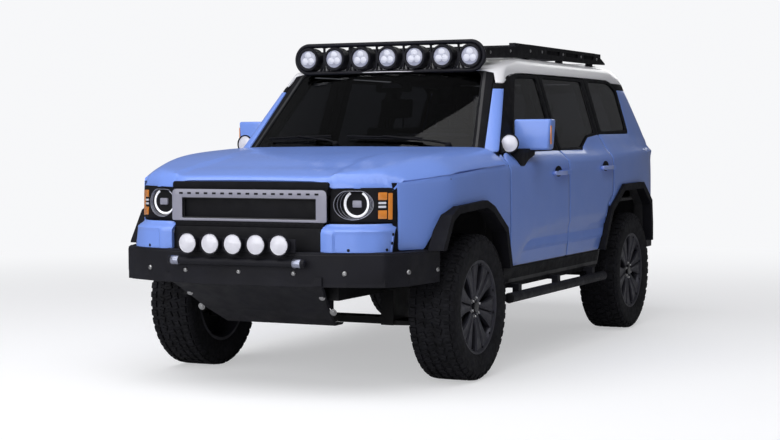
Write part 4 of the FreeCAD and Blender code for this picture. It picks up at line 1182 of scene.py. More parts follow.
def scatter_tree(item, material):
    """Node tree: an item on every point, turned by the point's own rotation."""
    tree = bpy.data.node_groups.new("scatter", "GeometryNodeTree")
    face = tree.interface
    face.new_socket("Geometry", in_out="INPUT", socket_type="NodeSocketGeometry")
    size = face.new_socket("Size", in_out="INPUT", socket_type="NodeSocketFloat")
    size.default_value = 1.0
    face.new_socket("Seed", in_out="INPUT", socket_type="NodeSocketInt")
    face.new_socket("Turn jitter", in_out="INPUT", socket_type="NodeSocketFloat")
    face.new_socket("Geometry", in_out="OUTPUT", socket_type="NodeSocketGeometry")
    start = tree.nodes.new("NodeGroupInput").outputs
    info = add_node(tree, "GeometryNodeObjectInfo", {"Object": item})
    turn = add_node(tree, "GeometryNodeInputNamedAttribute", {"Name": "turn"},
                    data_type="FLOAT_VECTOR")
    negative = add_node(tree, "ShaderNodeMath", {0: start["Turn jitter"], 1: -1.0},
                        operation="MULTIPLY")
    jitter = add_node(tree, "FunctionNodeRandomValue",
                      {"Min": negative.outputs[0], "Max": start["Turn jitter"],
                       "Seed": start["Seed"]}, data_type="FLOAT")
    spin = add_node(tree, "ShaderNodeCombineXYZ", {"Z": jitter.outputs["Value"]})
    place = add_node(tree, "GeometryNodeInstanceOnPoints",
                     {"Points": start["Geometry"], "Instance": info.outputs["Geometry"],
                      "Rotation": turn.outputs["Attribute"], "Scale": start["Size"]})
    wobble = add_node(tree, "GeometryNodeRotateInstances",
                      {"Instances": place.outputs["Instances"],
                       "Rotation": spin.outputs["Vector"]})
    real = add_node(tree, "GeometryNodeRealizeInstances",
                    {"Geometry": wobble.outputs["Instances"]})
    paint_it = add_node(tree, "GeometryNodeSetMaterial",
                        {"Material": material, "Geometry": real.outputs["Geometry"]})
    add_node(tree, "NodeGroupOutput", {"Geometry": paint_it.outputs["Geometry"]})
    return tree


def scattered(name, item, places, material):
    """Item copies on (point, direction of its own +Z, direction of its own +X) places."""
    mesh = bpy.data.meshes.new(name)
    mesh.from_pydata([(p[0], p[1] + AXLE_Y, p[2]) for p, _, _ in places], [], [])
    values = []
    for _, up, along in places:
        z = Vector(up).normalized()
        x = (Vector(along) - z * Vector(along).dot(z)).normalized()
        values += list(Matrix((x, z.cross(x), z)).transposed().to_euler())
    layer = mesh.attributes.new("turn", "FLOAT_VECTOR", "POINT")
    layer.data.foreach_set("vector", values)
    obj = add_object(name, mesh)
    tree = scatter_tree(item, material)
    mod = obj.modifiers.new("scatter", "NODES")
    mod.node_group = tree
    for socket in tree.interface.items_tree:
        if socket.in_out == "INPUT" and socket.name in SCATTER_INPUTS:
            mod[socket.identifier] = SCATTER_INPUTS[socket.name]
    apply_modifiers(obj)
    bpy.data.node_groups.remove(tree)
    bpy.data.objects.remove(item)
    if not obj.data.materials:
        obj.data.materials.append(material)
    shade(obj, 35.0)
    return obj


def item_of(obj):
    """A shape made about the front axle's middle, moved back to the true origin."""
    for v in obj.data.vertices:
        v.co.y -= AXLE_Y
    return obj


def bolt_item(radius, height):
    """Flanged bolt head with its washer, standing along +Z."""
    flange = [(radius * 1.45, -0.002), (radius * 1.45, 0.001), (radius * 1.25, 0.002),
              (radius * 1.02, 0.0022)]
    head = [(radius, 0.0023), (radius, height * 0.8), (radius * 0.82, height), (0.0, height)]
    base = turned("washer", [(0.0, -0.002)] + flange + [(0.0, 0.0022)], ORIGIN, UPWARD,
                  BOLT, 20)
    top = turned("head", [(0.0, 0.0015)] + head, ORIGIN, UPWARD, BOLT, 6)
    return item_of(join("bolt", [base, top]))


def dome_item(radius, height):
    """Round-headed bolt with a small socket, standing along +Z."""
    r, h = radius, height
    profile = [(0.0, -0.002), (r * 1.1, -0.002), (r * 1.1, 0.001), (r, h * 0.45),
               (r * 0.72, h * 0.85), (r * 0.42, h), (r * 0.36, h * 0.98), (r * 0.34, h * 0.6),
               (0.0, h * 0.55)]
    return item_of(turned("dome", profile, ORIGIN, UPWARD, BOLT, 24))


print("shape helpers ready")

# %% [markdown]
# ## Nose
# The grille is a thick pale frame around a blank black panel, with small slots along its top.
# Each head lamp sits in a black panel with a deep bowl, an open light ring and a square
# projector. The amber indicators stand at the outer corner.

# %% Grille
front = panel("grille_frame", rect(-0.473, 0.473, 0.918, 1.088, 0.012, 0.030), at_y(-0.912),
              GRILLE, [rect(-0.411, 0.411, 0.931, 1.043)], grid=0.2, thick=0.05, edge=0.006,
              outwards=FORWARD)
liner = panel("grille_liner", rect(-0.412, 0.412, 0.930, 1.044), at_y(-0.898), GLOSS_BLACK,
              [rect(-0.405, 0.405, 0.936, 1.038)], grid=0.2, thick=0.03, edge=0.002,
              outwards=FORWARD)
blank = block("grille_blank", (-0.409, -0.884, 0.932), (0.409, -0.874, 1.042), TRIM, 0.002)
done(front, "root")
done(join("grille_inside", [liner, blank]), "root")
slot_shape = item_of(block("slot", (-0.0115, -0.005, -0.0020), (0.0115, 0.005, 0.0008),
                           SEAL, 0.0006, 1))
slots = [((-0.416 + 0.052 * i, -0.9125, 1.066), FORWARD, OUTWARD) for i in range(17)]
low_slots = [((-0.432 + 0.048 * i, -0.9095, 0.905), FORWARD, OUTWARD) for i in range(19)]
done(scattered("grille_slots", slot_shape, slots, SEAL), "root")
shelf = block("grille_shelf", (-0.455, -0.909, 0.888), (0.455, -0.86, 0.916), TRIM, 0.004)
lower_slot = item_of(block("slot", (-0.012, -0.003, -0.0020), (0.012, 0.003, 0.0010), SEAL,
                           0.0006, 1))
under = scattered("low_slots", lower_slot, low_slots, SEAL)
done(join("grille_shelf_slotted", [shelf, under]), "root")
groove = panel("air_slot", rect(-0.476, 0.476, 1.092, 1.130, 0.004, 0.018),
               lambda x, z: (x, -0.899 - 0.012 * (1.11 - z), z), SEAL, grid=0.2, thick=0.03,
               edge=0.006, outwards=FORWARD)
done(groove, "root")
apron = panel("nose_apron", rect(-0.462, 0.462, 0.765, 0.888, 0.006, 0.03),
              lambda x, z: (x, -0.912 - 0.10 * (0.888 - z) * (1 - abs(x) ** 4 * 8), z), TRIM,
              grid=0.05, thick=0.02, edge=0.005, outwards=FORWARD)
done(apron, "root")
dress("grille", TRIM)
print("grille dressed")

# %% Head lamps
LAMP_PLAN = [(0.470, -0.866), (0.593, -0.834), (0.700, -0.788), (0.764, -0.737), (0.80, -0.700)]
FACING = Vector((0.40, -0.917, 0.0))


def lamp_face(x, z):
    """Point of the lamp unit's face."""
    return (x, smooth_table(LAMP_PLAN, x)[0] + 0.03 * (z - 1.02), z)


def out_by(distance):
    return lambda x, z: tuple(Vector(lamp_face(x, z)) + FACING * distance)


RING = Vector((0.592, -0.795, 1.0145))
LAMP_SIDES = 48


def mouth(grow=0.0):
    """Outline of the lamp's opening in the face: an ellipse with a flat top."""
    return [Vector((p.x, min(p.y, 1.086 + grow)))
            for p in ellipse(0.590, 1.012, 0.102 + grow, 0.083 + grow, LAMP_SIDES)]


def slab(name, x0, x1, z0, z1, lift, thick, material, radius=0.004):
    return panel(name, rect(x0, x1, z0, z1, radius), out_by(lift), material, grid=0.03,
                 thick=thick, edge=0.0015, outwards=(0.4, -1, 0))


def lamp_ring(share, inset=0.0):
    """Outline of the lamp's wall, from its mouth in the face (0) to the light ring (1)."""
    points = []
    for k, p in enumerate(mouth(-inset)):
        a = k * (2 * math.pi / LAMP_SIDES)
        floor = RING + Vector((0.079 * math.cos(a), 0.0, 0.079 * math.sin(a)))
        points.append(Vector(lamp_face(p.x, p.y)).lerp(floor, share))
    return points


def bowl(name, rings, material):
    """Housing wall through outlines that step back into the lamp."""
    verts = [tuple(p) for ring in rings for p in ring]
    size = len(rings), len(rings[0])
    obj = make_object(name, verts, ring_faces(*size) + end_caps(*size)[1:], material)
    return thicken(obj, 0.003, FACING)


face = panel("lamp_panel", rounded([(0.473, 0.921), (0.473, 1.100), (0.780, 1.100, 0.026),
                                    (0.785, 0.921)], 0.004),
             lamp_face, TRIM, [mouth()], grid=0.03, thick=0.03, edge=0.003,
             outwards=(0.3, -1, 0))
both(face, "root")
wall = bowl("lamp_bowl", [lamp_ring(-0.02), lamp_ring(0.04, 0.003), lamp_ring(0.32, 0.003),
                          lamp_ring(0.34, 0.010), lamp_ring(0.62, 0.010),
                          lamp_ring(0.64, 0.016), lamp_ring(1.0, 0.016)], TRIM)
both(wall, "root")
# Painted highlight: thin pale rings on the black bowl's step edges stand for the light those edges
# catch.
painted_edge_highlights = []
for share, inset in ((-0.02, 0.003), (0.33, 0.004), (0.63, 0.011)):
    line = lamp_ring(share, inset)
    painted_edge_highlights.append(tube("rim", line + line[:1], 0.0013, REFLECTOR, 6))
both(join("lamp_rims", painted_edge_highlights), "root")
centre = RING
ups = Vector((0, 0, 1))
ahead = Vector((0.06, -0.998, 0.0))
across = ups.cross(ahead).normalized()
ring_points = []
for k in range(41):
    a = math.radians(122 + 296 * k / 40)
    ring_points.append(centre + (across * math.cos(a) + ups * math.sin(a)) * 0.067)
both(tube("lamp_halo", ring_points, 0.0075, HALO, 12), "root")
core = turned("lamp_core", [(0.0, -0.03), (0.078, -0.03), (0.078, -0.006), (0.058, -0.006),
                            (0.052, -0.014), (0.0, -0.014)], centre, ahead, GLOSS_BLACK)
both(core, "root")
projector = panel("lamp_projector", rect(-0.025, 0.025, -0.018, 0.018, 0.006),
                  lambda u, v: tuple(centre + across * (u + 0.005) + ups * v + ahead * 0.009),
                  GRILLE, grid=0.02, thick=0.018, edge=0.004, outwards=(0.4, -1, 0))
both(projector, "root")
amber = [slab("amber_top", 0.711, 0.748, 1.036, 1.076, 0.006, 0.010, AMBER),
         slab("amber_low", 0.711, 0.748, 0.938, 0.982, 0.006, 0.010, AMBER),
         slab("amber_side", 0.753, 0.770, 0.934, 1.072, 0.005, 0.010, AMBER)]
both(join("lamp_indicator", amber), "root")
bars = [slab("bar_top", 0.712, 0.744, 1.015, 1.026, 0.006, 0.010, WHITE_LENS, 0.002),
        slab("bar_low", 0.712, 0.744, 0.995, 1.006, 0.006, 0.010, WHITE_LENS, 0.002)]
both(join("lamp_bars", bars), "root")
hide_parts("headlamps")
shelf = slab("shelf", 0.456, 0.776, 0.880, 0.924, -0.010, 0.060, TRIM)
lid = panel("lamp_lid", rounded([(0.475, -0.850), (0.60, -0.820), (0.70, -0.774), (0.766, -0.724),
                                 (0.800, -0.680), (0.800, -0.640), (0.475, -0.640)], 0.004),
            lambda x, y: (x, y, 1.092), TRIM, grid=0.1, thick=0.010, outwards=UPWARD)
both(join("lamp_shelf", [shelf, lid]), "root")
print("head lamps dressed")

# %% Corner covers below the lamps
COVER_PLAN = [(0.0, 0.460, -0.962), (0.09, 0.552, -0.950), (0.18, 0.640, -0.930),
              (0.25, 0.702, -0.894), (0.31, 0.748, -0.855), (0.37, 0.778, -0.803),
              (0.42, 0.789, -0.755)]


def cover_face(s, z):
    """Point of the corner cover. s runs outwards along its plan."""
    x, y = smooth_table(COVER_PLAN, s)
    top = steps_up(z - 0.890, 0.044)
    left = 1 - steps_up(s - 0.030, 0.06)
    inset = 0.010 * steps_up(s - 0.072, 0.014) * (1 - steps_up(s - 0.402, 0.010))
    inset *= 1 - steps_up(z - 0.874, 0.012)
    inset += 0.056 * top + 0.016 * left * left
    y += 0.30 * (z - 0.83) * steps_up(s - 0.30, 0.24)
    return (x - 0.25 * inset, y + 0.97 * inset, z)


lines = [[(s, 0.766), (s, 0.910)] for s in (0.065, 0.079, 0.397, 0.407)]
lines += [[(0.01, z), (0.41, z)] for z in (0.866, 0.874, 0.882, 0.890, 0.898, 0.906)]
cover = panel("corner_cover", rounded([(0.0, 0.766), (0.0, 0.912, 0.045), (0.418, 0.912, 0.012),
                                       (0.418, 0.766)], 0.006),
              cover_face, BLUE, grid=0.02, lines=lines, thick=0.03, edge=0.004,
              outwards=(0.5, -1, 0))
cover = both(cover, "root")[0]
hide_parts("corner_covers")
spots = []
for s, z in ((0.150, 0.779), (0.365, 0.779), (0.407, 0.857), (0.407, 0.812)):
    p = Vector(cover_face(s, z))
    q = Vector(cover_face(s + 0.01, z)) - p
    spots.append((p, q.cross(Vector((0, 0, 1))), q))
studs = scattered("cover_bolts", bolt_item(0.0055, 0.003), spots, STEEL)
both(studs, "root")
print("corner covers dressed")

# %% Bumper plate, its bolts and the guard bar
BUMPER = [(-0.907, -0.430), (-0.869, -0.737), (-0.792, -0.871), (-0.601, -0.945),
          (-0.340, -1.010), (0.340, -1.010), (0.601, -0.945), (0.792, -0.871),
          (0.869, -0.737), (0.907, -0.430)]
plate = swept("bumper_plate", bent(BUMPER, 0.02),
              [(0.0, 0.752), (0.0, 0.640), (-0.004, 0.600), (-0.020, 0.584), (-0.026, 0.586),
               (-0.012, 0.604), (-0.007, 0.640), (-0.007, 0.746), (-0.030, 0.762),
               (-0.028, 0.768), (-0.010, 0.763)], STEEL)
done(plate, "root")
places = [((x, -1.0105, 0.658), FORWARD, OUTWARD) for x in (0.0, 0.329, -0.329)]
for sign in (1, -1):
    places.append(((sign * 0.595, -0.947, 0.659), (sign * 0.27, -0.96, 0), (1, 0, 0)))
    places.append(((sign * 0.866, -0.742, 0.661), (sign * 0.90, -0.44, 0), (0, 1, 0)))
    places.append(((sign * 0.904, -0.455, 0.656), (sign, -0.12, 0), (0, 1, 0)))
done(scattered("bumper_bolts", dome_item(0.0125, 0.009), places, BOLT), "root")
SLEEVE = [(0.0, 0.0), (0.023, 0.0), (0.024, 0.002), (0.024, 0.045), (0.023, 0.047), (0.0, 0.047)]
END_CAP = [(0.0, 0.0), (0.024, 0.0), (0.024, 0.010), (0.019, 0.020), (0.008, 0.025), (0.0, 0.0255)]
for name, profile, x, material in (("guard_sleeves", SLEEVE, 0.347, BRIGHT),
                                   ("guard_caps", END_CAP, 0.394, STEEL)):
    pair = [turned("end", profile, (sign * x, -1.042, 0.712), (sign, 0, 0), material)
            for sign in (1, -1)]
    done(join(name, pair), "root")
for node in ("front_bumper", "guard_bar", "skid_plate"):
    dress(node, STEEL)
spots = [((sign * x, y - 0.003, z), (0, -1, -0.35), (1, 0, 0)) for sign in (-1, 1)
         for x, y, z in ((0.408, -0.842, 0.523), (0.411, -0.717, 0.430))]
done(scattered("skid_bolts", bolt_item(0.014, 0.008), spots, BOLT), "root")
print("bumper dressed")

# %% [markdown]
# ## Round lamps
# Five lamps stand on the bumper and seven in the hoop on the roof. Each has a black cup with
# cooling fins, a bezel held by small screws, and a pale lens. The roof's lenses show three
# reflectors each.

# %% One lamp
def round_lamp(place, axis, radius, lens_radius, depth, lobes):
    """Cup and lens of one lamp, as two objects. The place is the middle of its front rim."""
    r = radius
    cup = [(0.0, -depth), (r * 0.45, -depth), (r * 0.55, -depth * 0.92)]
    for k in range(4):
        h = -depth * (0.86 - 0.13 * k)
        cup += [(r * (0.62 + 0.07 * k), h), (r * (0.70 + 0.07 * k), h + depth * 0.02),
                (r * (0.70 + 0.07 * k), h + depth * 0.07),
                (r * (0.62 + 0.07 * k), h + depth * 0.09)]
    cup += [(r * 0.96, -depth * 0.30), (r, -depth * 0.22), (r, -0.004), (r * 0.97, 0.0),
            (lens_radius * 1.10, 0.0), (lens_radius * 1.03, -0.004), (lens_radius * 1.01, -0.012),
            (0.0, -0.012)]
    body = turned("cup", cup, place, axis, STEEL, 48)
    q = lens_radius
    glass = turned("lens", [(0.0, -0.011), (q, -0.011), (q, -0.006), (q * 0.94, -0.004),
                            (q * 0.90, -0.0052), (q * 0.86, -0.004), (0.0, -0.0025)],
                   place, axis, REFLECTOR if lobes else WHITE_LENS, 48)
    pieces = [glass]
    axis = Vector(axis).normalized()
    up = Vector((0, 0, 1))
    right = up.cross(axis).normalized()
    if lobes:
        for k in range(3):
            a = math.radians(90 + 120 * k)
            spot = Vector(place) + (right * math.cos(a) + up * math.sin(a)) * q * 0.44
            pieces.append(turned("lobe", [(0.0, -0.006), (q * 0.40, -0.006), (q * 0.40, -0.0022),
                                          (q * 0.33, -0.0008), (0.0, -0.0008)],
                                 spot, axis, LOBE, 28))
    return body, join("lens", pieces)


def lamp_row(name, places, radius, lens_radius, depth, lobes):
    cups, lenses = [], []
    for place in places:
        cup, glass = round_lamp(place, (0, -1, 0), radius, lens_radius, depth, lobes)
        cups.append(cup)
        lenses.append(glass)
    return join(name + "_cups", cups), join(name + "_lenses", lenses)


ROOF_PITCH = 0.186
BUMPER_LAMPS = [(0.139 * i, -1.079, 0.806) for i in range(-2, 3)]
ROOF_LAMPS = [(ROOF_PITCH * i, 0.820, 1.860) for i in range(-3, 4)]
cups, lenses = lamp_row("bumper_lamp", BUMPER_LAMPS, 0.060, 0.0515, 0.056, False)
done(cups, "root", ("bumper_lamps",))
done(lenses, "root")
bracket = block("bumper_lamp_bracket", (-0.350, -1.026, 0.763), (0.350, -1.018, 0.836), STEEL)
done(bracket, "root")
cups, lenses = lamp_row("roof_lamp", ROOF_LAMPS, 0.072, 0.055, 0.030, True)
done(cups, "root")
done(lenses, "root")
dress("roof_light_bar", STEEL)
spots = []
for places, y, r in ((BUMPER_LAMPS, -1.0765, 0.0565), (ROOF_LAMPS, 0.8202, 0.066)):
    for x, _, z in places:
        for k in range(6):
            a = math.radians(30 + 60 * k)
            spots.append(((x + r * math.cos(a), y, z + r * math.sin(a)), FORWARD, OUTWARD))
done(scattered("lamp_screws", bolt_item(0.0035, 0.003), spots, STEEL), "root")
hoop = []
for k in range(33):
    a = math.radians(90 - 180 * k / 32)
    hoop.append((0.558 + 0.088 * math.cos(a), 0.842, 1.860 + 0.088 * math.sin(a)))
whole = hoop + [(-x, y, z) for x, y, z in hoop[::-1]] + [hoop[0]]
done(tube("roof_hoop", whole, 0.0125, STEEL, 16), "root")
legs = []
for i in range(-3, 3):
    x = (i + 0.5) * ROOF_PITCH
    for lean in (-0.034, 0.034):
        legs.append(tube("leg", [(x + lean, 0.880, 1.774), (x, 0.880, 1.858)], 0.008, STEEL, 10))
    legs.append(block("clamp", (x - 0.016, 0.868, 1.932), (x + 0.016, 0.892, 1.952), STEEL))
done(join("roof_lamp_brackets", legs), "root")
print("lamps dressed")

# %% [markdown]
# ## Mirrors, handles and steps
# The mirrors, their side lamps and the handles ride the doors. The steps, the flares and the
# roof rack stay with the body.

# %% Mirrors
shell = block("mirror_shell", (0.848, 0.816, 1.284), (1.0785, 0.926, 1.4685), BLUE, 0.014, 4)
for v in shell.data.vertices:
    low = max(0.0, (1.330 - v.co.z) / 0.043)
    v.co.x += (0.902 - v.co.x) * 0.10 * low
    v.co.y += 0.020 * max(0.0, (v.co.x - 1.02) / 0.06) * (v.co.y - AXLE_Y < 0.87)
both(shell, "front_door")
strip_lens = block("mirror_amber", (1.0735, 0.838, 1.318), (1.0795, 0.852, 1.430), AMBER, 0.002)
both(strip_lens, "front_door")
face = panel("mirror_glass", rect(0.898, 1.062, 1.306, 1.448, 0.02),
             lambda x, z: (x, 0.930 - 0.05 * (x - 0.898), z), MIRROR, grid=0.1, thick=0.004,
             edge=0.001, outwards=BACKWARD)
both(face, "front_door")
foot = panel("mirror_foot", rounded([(0.640, 1.292), (0.905, 1.292), (0.915, 1.255),
                                     (0.800, 1.225), (0.735, 1.188), (0.660, 1.190)], 0.02),
             at_x(0.950), TRIM, grid=0.2, thick=0.08, edge=0.008)
both(foot, "front_door")
cup, glass = round_lamp((0.902, 0.602, 1.324), (0.12, -1, 0), 0.058, 0.050, 0.056, False)
cup.name, glass.name = "mirror_lamp_cup", "mirror_lamp_lens"
both(cup, "front_door")
both(glass, "front_door")
stalk = tube("mirror_lamp_stalk", [(0.902, 0.648, 1.300), (0.905, 0.700, 1.280),
                                   (0.905, 0.780, 1.268), (0.900, 0.830, 1.262)], 0.012, STEEL, 14)
both(stalk, "front_door")
for side_name in ("left", "right"):
    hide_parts("mirror_" + side_name)
print("mirrors dressed")


# %% Handles
def handle(y, z, stem):
    """Pull handle with feet in body blue and a grip paler than the body as a painted
    highlight, over a flat black ellipse that is painted shade for the recess behind it.
    """
    grip = panel("grip", rect(y - 0.108, y + 0.108, z - 0.012, z + 0.014, 0.012),
                 lambda a, b: (0.9865 - 0.9 * (a - y) ** 2, a, b), HANDLE_PAINTED_HIGHLIGHT, grid=0.02,
                 thick=0.014, edge=0.005)
    feet = [block("foot", (0.945, y + d - 0.016, z - 0.010), (0.977, y + d + 0.016, z + 0.011),
                  BLUE, 0.003) for d in (-0.088, 0.088)]
    both(join(stem + "_handle", [grip] + feet), stem)
    # Painted shade: a flat black ellipse, just proud of the door, stands for the shade in the
    # recess behind the grip.
    cup = panel(stem + "_handle_cup", ellipse(y, z + 0.012, 0.062, 0.034, 28),
                sunk(side, -0.0025), SEAL, grid=0.03, thick=0.004, edge=0.001)
    both(cup, stem)


handle(1.326, 1.134, "front_door")
handle(2.277, 1.152, "rear_door")
print("handles dressed")

# %% Side steps, flares and rack
dress("side_steps", STEEL)
dress("arch_flares", FLARE)
caps = [turned("step_cap", [(0.0, 0.0), (0.031, 0.0), (0.031, 0.006), (0.026, 0.012),
                            (0.0, 0.014)], (0.962, y, 0.424), way, TRIM, 32)
        for y, way in ((0.451, FORWARD), (2.189, BACKWARD))]
both(join("step_caps", caps), "root")
SKIRT = [(0.957, 1.850), (0.962, 1.912), (1.430, 1.941), (1.520, 1.957), (1.680, 1.9665),
         (3.060, 1.9665), (3.125, 1.957), (3.285, 1.902), (3.285, 1.892), (3.040, 1.887),
         (1.776, 1.881)]
slots = [rect(y0, y1, 1.917, 1.944, 0.012) for y0, y1 in ((2.03, 2.30), (2.42, 2.68), (2.80, 3.03))]
skirt = panel("rack_skirt", rounded(SKIRT, 0.015), at_x(0.616), TRIM, slots, grid=0.3,
              thick=0.012, edge=0.003)
both(skirt, "root")
back = panel("rack_skirt_inner", rounded([(1.9, 1.905), (1.9, 1.955), (3.08, 1.955),
                                          (3.12, 1.905)], 0.01),
             at_x(0.604), SEAL, grid=0.3, thick=0.003, edge=0)
both(back, "root")
fairing = panel("rack_fairing", rect(-0.606, 0.606, 0.96, 1.45, 0.02),
                lambda x, y: (x, y, 1.906 + (y - 0.96) * 0.060 + 0.006 * math.cos(x * 2.4)),
                TRIM, grid=0.08, thick=0.006, edge=0.002, outwards=UPWARD)
done(fairing, "root")
spots = [((0.6165, y, z), (1, 0, 0), (0, 1, 0)) for y, z in
         ((1.02, 1.888), (1.36, 1.910), (1.72, 1.925), (1.94, 1.930), (2.36, 1.930),
          (2.74, 1.930), (3.09, 1.925))]
both(scattered("rack_bolts", bolt_item(0.007, 0.005), spots, BOLT), "root")
tops = [((sign * 0.582, 1.50 + 0.034 + 0.2088 * i, 1.9672), UPWARD, OUTWARD)
        for sign in (-1, 1) for i in range(9)]
small = item_of(turned("rivet", [(0.0, -0.002), (0.006, -0.002), (0.006, 0.0), (0.003, 0.0007),
                                 (0.0, 0.0007)], ORIGIN, UPWARD, BOLT, 12))
done(scattered("rack_rivets", small, tops, BOLT), "root")
dress("roof_rack", STEEL)
print("steps and rack dressed")

# %% [markdown]
# ## Wheels
# The tyre's blocks stand in five rows on a turned carcass, with flat blocks on its shoulders.
# The rim has six pairs of spokes around a small black cap, and a brake disc behind. A thin dust
# shield stands on the inner side of each disc, on the part that carries the wheel.

# %% Tyre
RIM_X = 0.832
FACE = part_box("rim_front_left")[1].x - RIM_X


def tyre_carcass():
    """Closed ring of rubber about the X axis, at the origin."""
    profile = [(0.262, -0.112), (0.262, -0.122), (0.272, -0.128), (0.288, -0.131),
               (0.316, -0.1355), (0.340, -0.1365), (0.362, -0.1355), (0.380, -0.131),
               (0.3905, -0.124), (0.397, -0.110), (0.4005, -0.08), (0.4015, -0.04)]
    ring = profile + [(0.4017, 0.0)] + [(r, -x) for r, x in profile[::-1]]
    ring += [(0.2585, 0.10), (0.2585, -0.10), profile[0]]
    return turned("carcass", ring, ORIGIN, OUTWARD, RUBBER, 120, 40.0)


def tread_block(along, across, height, taper=0.86, slit=True):
    """One rubber block standing along +Z, with a narrow slit across its top."""
    verts, faces = [], []
    a, b, t = along / 2, across / 2, taper
    cut = 0.0016 if slit else 0.0
    for x0, x1 in (((-a, -cut), (cut, a)) if slit else ((-a, a),)):
        n = len(verts)
        verts += [(x0, -b, -0.003), (x1, -b, -0.003), (x1, b, -0.003), (x0, b, -0.003),
                  (x0 * t, -b * t, height), (x1 * t, -b * t, height), (x1 * t, b * t, height),
                  (x0 * t, b * t, height)]
        faces += [(n, n + 3, n + 2, n + 1), (n + 4, n + 5, n + 6, n + 7),
                  (n, n + 1, n + 5, n + 4), (n + 1, n + 2, n + 6, n + 5),
                  (n + 2, n + 3, n + 7, n + 6), (n + 3, n, n + 4, n + 7)]
    return item_of(make_object("block", verts, faces, RUBBER))


def around(radius, x, count, phase, lean=0.0, tilt=0.0):
    """Places round the tyre. Lean turns a block in the tread, tilt leans it to the side."""
    out = []
    for k in range(count):
        a = 2 * math.pi * (k + phase) / count
        radial = Vector((0, math.cos(a), math.sin(a)))
        tangent = Vector((0, -math.sin(a), math.cos(a)))
        up = radial * math.cos(tilt) + Vector((math.sin(tilt), 0, 0))
        along = tangent * math.cos(lean) + Vector((math.sin(lean), 0, 0))
        out.append((tuple(radial * radius + Vector((x, 0, 0))), up, along))
    return out


def pair_of_rows(radius, x, count, phase, lean, tilt):
    """Mirrored rows of places, half a block apart."""
    return (around(radius, x, count, phase, lean, tilt)
            + around(radius, -x, count, (phase + 0.5) % 1, -lean, -tilt))


def tyre():
    count = 46
    rows = [(tread_block(0.036, 0.040, 0.0100), around(0.4013, 0.0, count, 0.0, 0.35)),
            (tread_block(0.038, 0.034, 0.0100),
             pair_of_rows(0.4010, 0.048, count, 0.5, -0.30, 0.0)),
            (tread_block(0.041, 0.034, 0.0110),
             pair_of_rows(0.3985, 0.098, count, 0.1, 0.0, 0.10)),
            (tread_block(0.034, 0.026, 0.0045, 0.9, False),
             pair_of_rows(0.3875, 0.1270, count, 0.1, 0.0, 1.05)),
            (tread_block(0.052, 0.020, 0.0022, 0.9, False),
             pair_of_rows(0.3635, 0.1345, count // 2, 0.2, 0.0, 1.52))]
    pieces = [tyre_carcass()]
    pieces += [scattered("row", item, places, RUBBER) for item, places in rows]
    return join("tyre", pieces)


# %% Rim
def rim():
    """Rim, spokes, cap and brake about the X axis, with its face to +X."""
    f = FACE
    barrel = turned("barrel", [(0.246, -f), (0.262, -f), (0.266, -f + 0.004), (0.262, -f + 0.012),
                               (0.252, -f + 0.018), (0.242, -0.04), (0.242, f - 0.030),
                               (0.252, f - 0.016), (0.262, f - 0.010), (0.2665, f - 0.003),
                               (0.262, f), (0.254, f - 0.001), (0.249, f - 0.006),
                               (0.240, f - 0.016), (0.236, f - 0.034), (0.234, -f + 0.02),
                               (0.246, -f)], ORIGIN, OUTWARD, ALLOY, 96)
    pieces = [barrel]
    stations = [(0.034, 0.0110, f - 0.028), (0.060, 0.0135, f - 0.022), (0.100, 0.0175, f - 0.018),
                (0.150, 0.0255, f - 0.014), (0.200, 0.0375, f - 0.010), (0.232, 0.0470, f - 0.010),
                (0.247, 0.0500, f - 0.012)]
    for pair_index in range(6):
        for lean in (-1, 1):
            turn = math.radians(60 * pair_index + 90)
            verts = []
            for r, w, x in stations:
                shift = lean * (w + 0.0020 + 0.010 * r)
                for dw, dx in ((-1.0, -0.030), (-1.0, -0.006), (-0.72, 0.0), (-0.25, -0.0022),
                               (0.25, -0.0022), (0.72, 0.0), (1.0, -0.006), (1.0, -0.030)):
                    u, v = r, shift + w * dw
                    y = u * math.cos(turn) - v * math.sin(turn)
                    z = u * math.sin(turn) + v * math.cos(turn)
                    verts.append((x + dx, y, z))
            size = len(stations), 8
            faces = ring_faces(*size) + end_caps(*size)
            pieces.append(make_object("spoke", verts, faces, ALLOY, 30.0))
    pieces.append(turned("hub", [(0.0, 0.0), (0.072, 0.0), (0.070, f - 0.040), (0.062, f - 0.034),
                                 (0.036, f - 0.030), (0.033, f - 0.034), (0.0, f - 0.034)],
                         ORIGIN, OUTWARD, ALLOY, 60))
    pieces.append(turned("cap", [(0.0, f - 0.032), (0.031, f - 0.032), (0.031, f - 0.018),
                                 (0.028, f - 0.014), (0.012, f - 0.0125), (0.0, f - 0.0125)],
                         ORIGIN, OUTWARD, GLOSS_BLACK, 40))
    pieces.append(turned("disc", [(0.060, 0.012), (0.165, 0.012), (0.165, 0.020), (0.166, 0.026),
                                  (0.165, 0.034), (0.085, 0.034), (0.080, 0.044), (0.060, 0.044),
                                  (0.060, 0.012)], ORIGIN, OUTWARD, CAST, 72))
    for obj in pieces:
        item_of(obj)
    nuts = []
    for k in range(6):
        a = math.radians(60 * k + 60)
        nuts.append(((f - 0.026, 0.052 * math.cos(a), 0.052 * math.sin(a)), (1, 0, 0), (0, 1, 0)))
    holes = []
    for k in range(12):
        a = math.radians(30 * k)
        holes.append(((f - 0.0095, 0.2455 * math.cos(a), 0.2455 * math.sin(a)), (1, 0, 0),
                      (0, 1, 0)))
    studs = scattered("nuts", bolt_item(0.0085, 0.012), nuts, BOLT)
    dots = scattered("rim_bolts", bolt_item(0.0052, 0.003), holes, SEAL)
    for obj in (studs, dots):
        item_of(obj)
    return join("rim", pieces + [studs, dots])


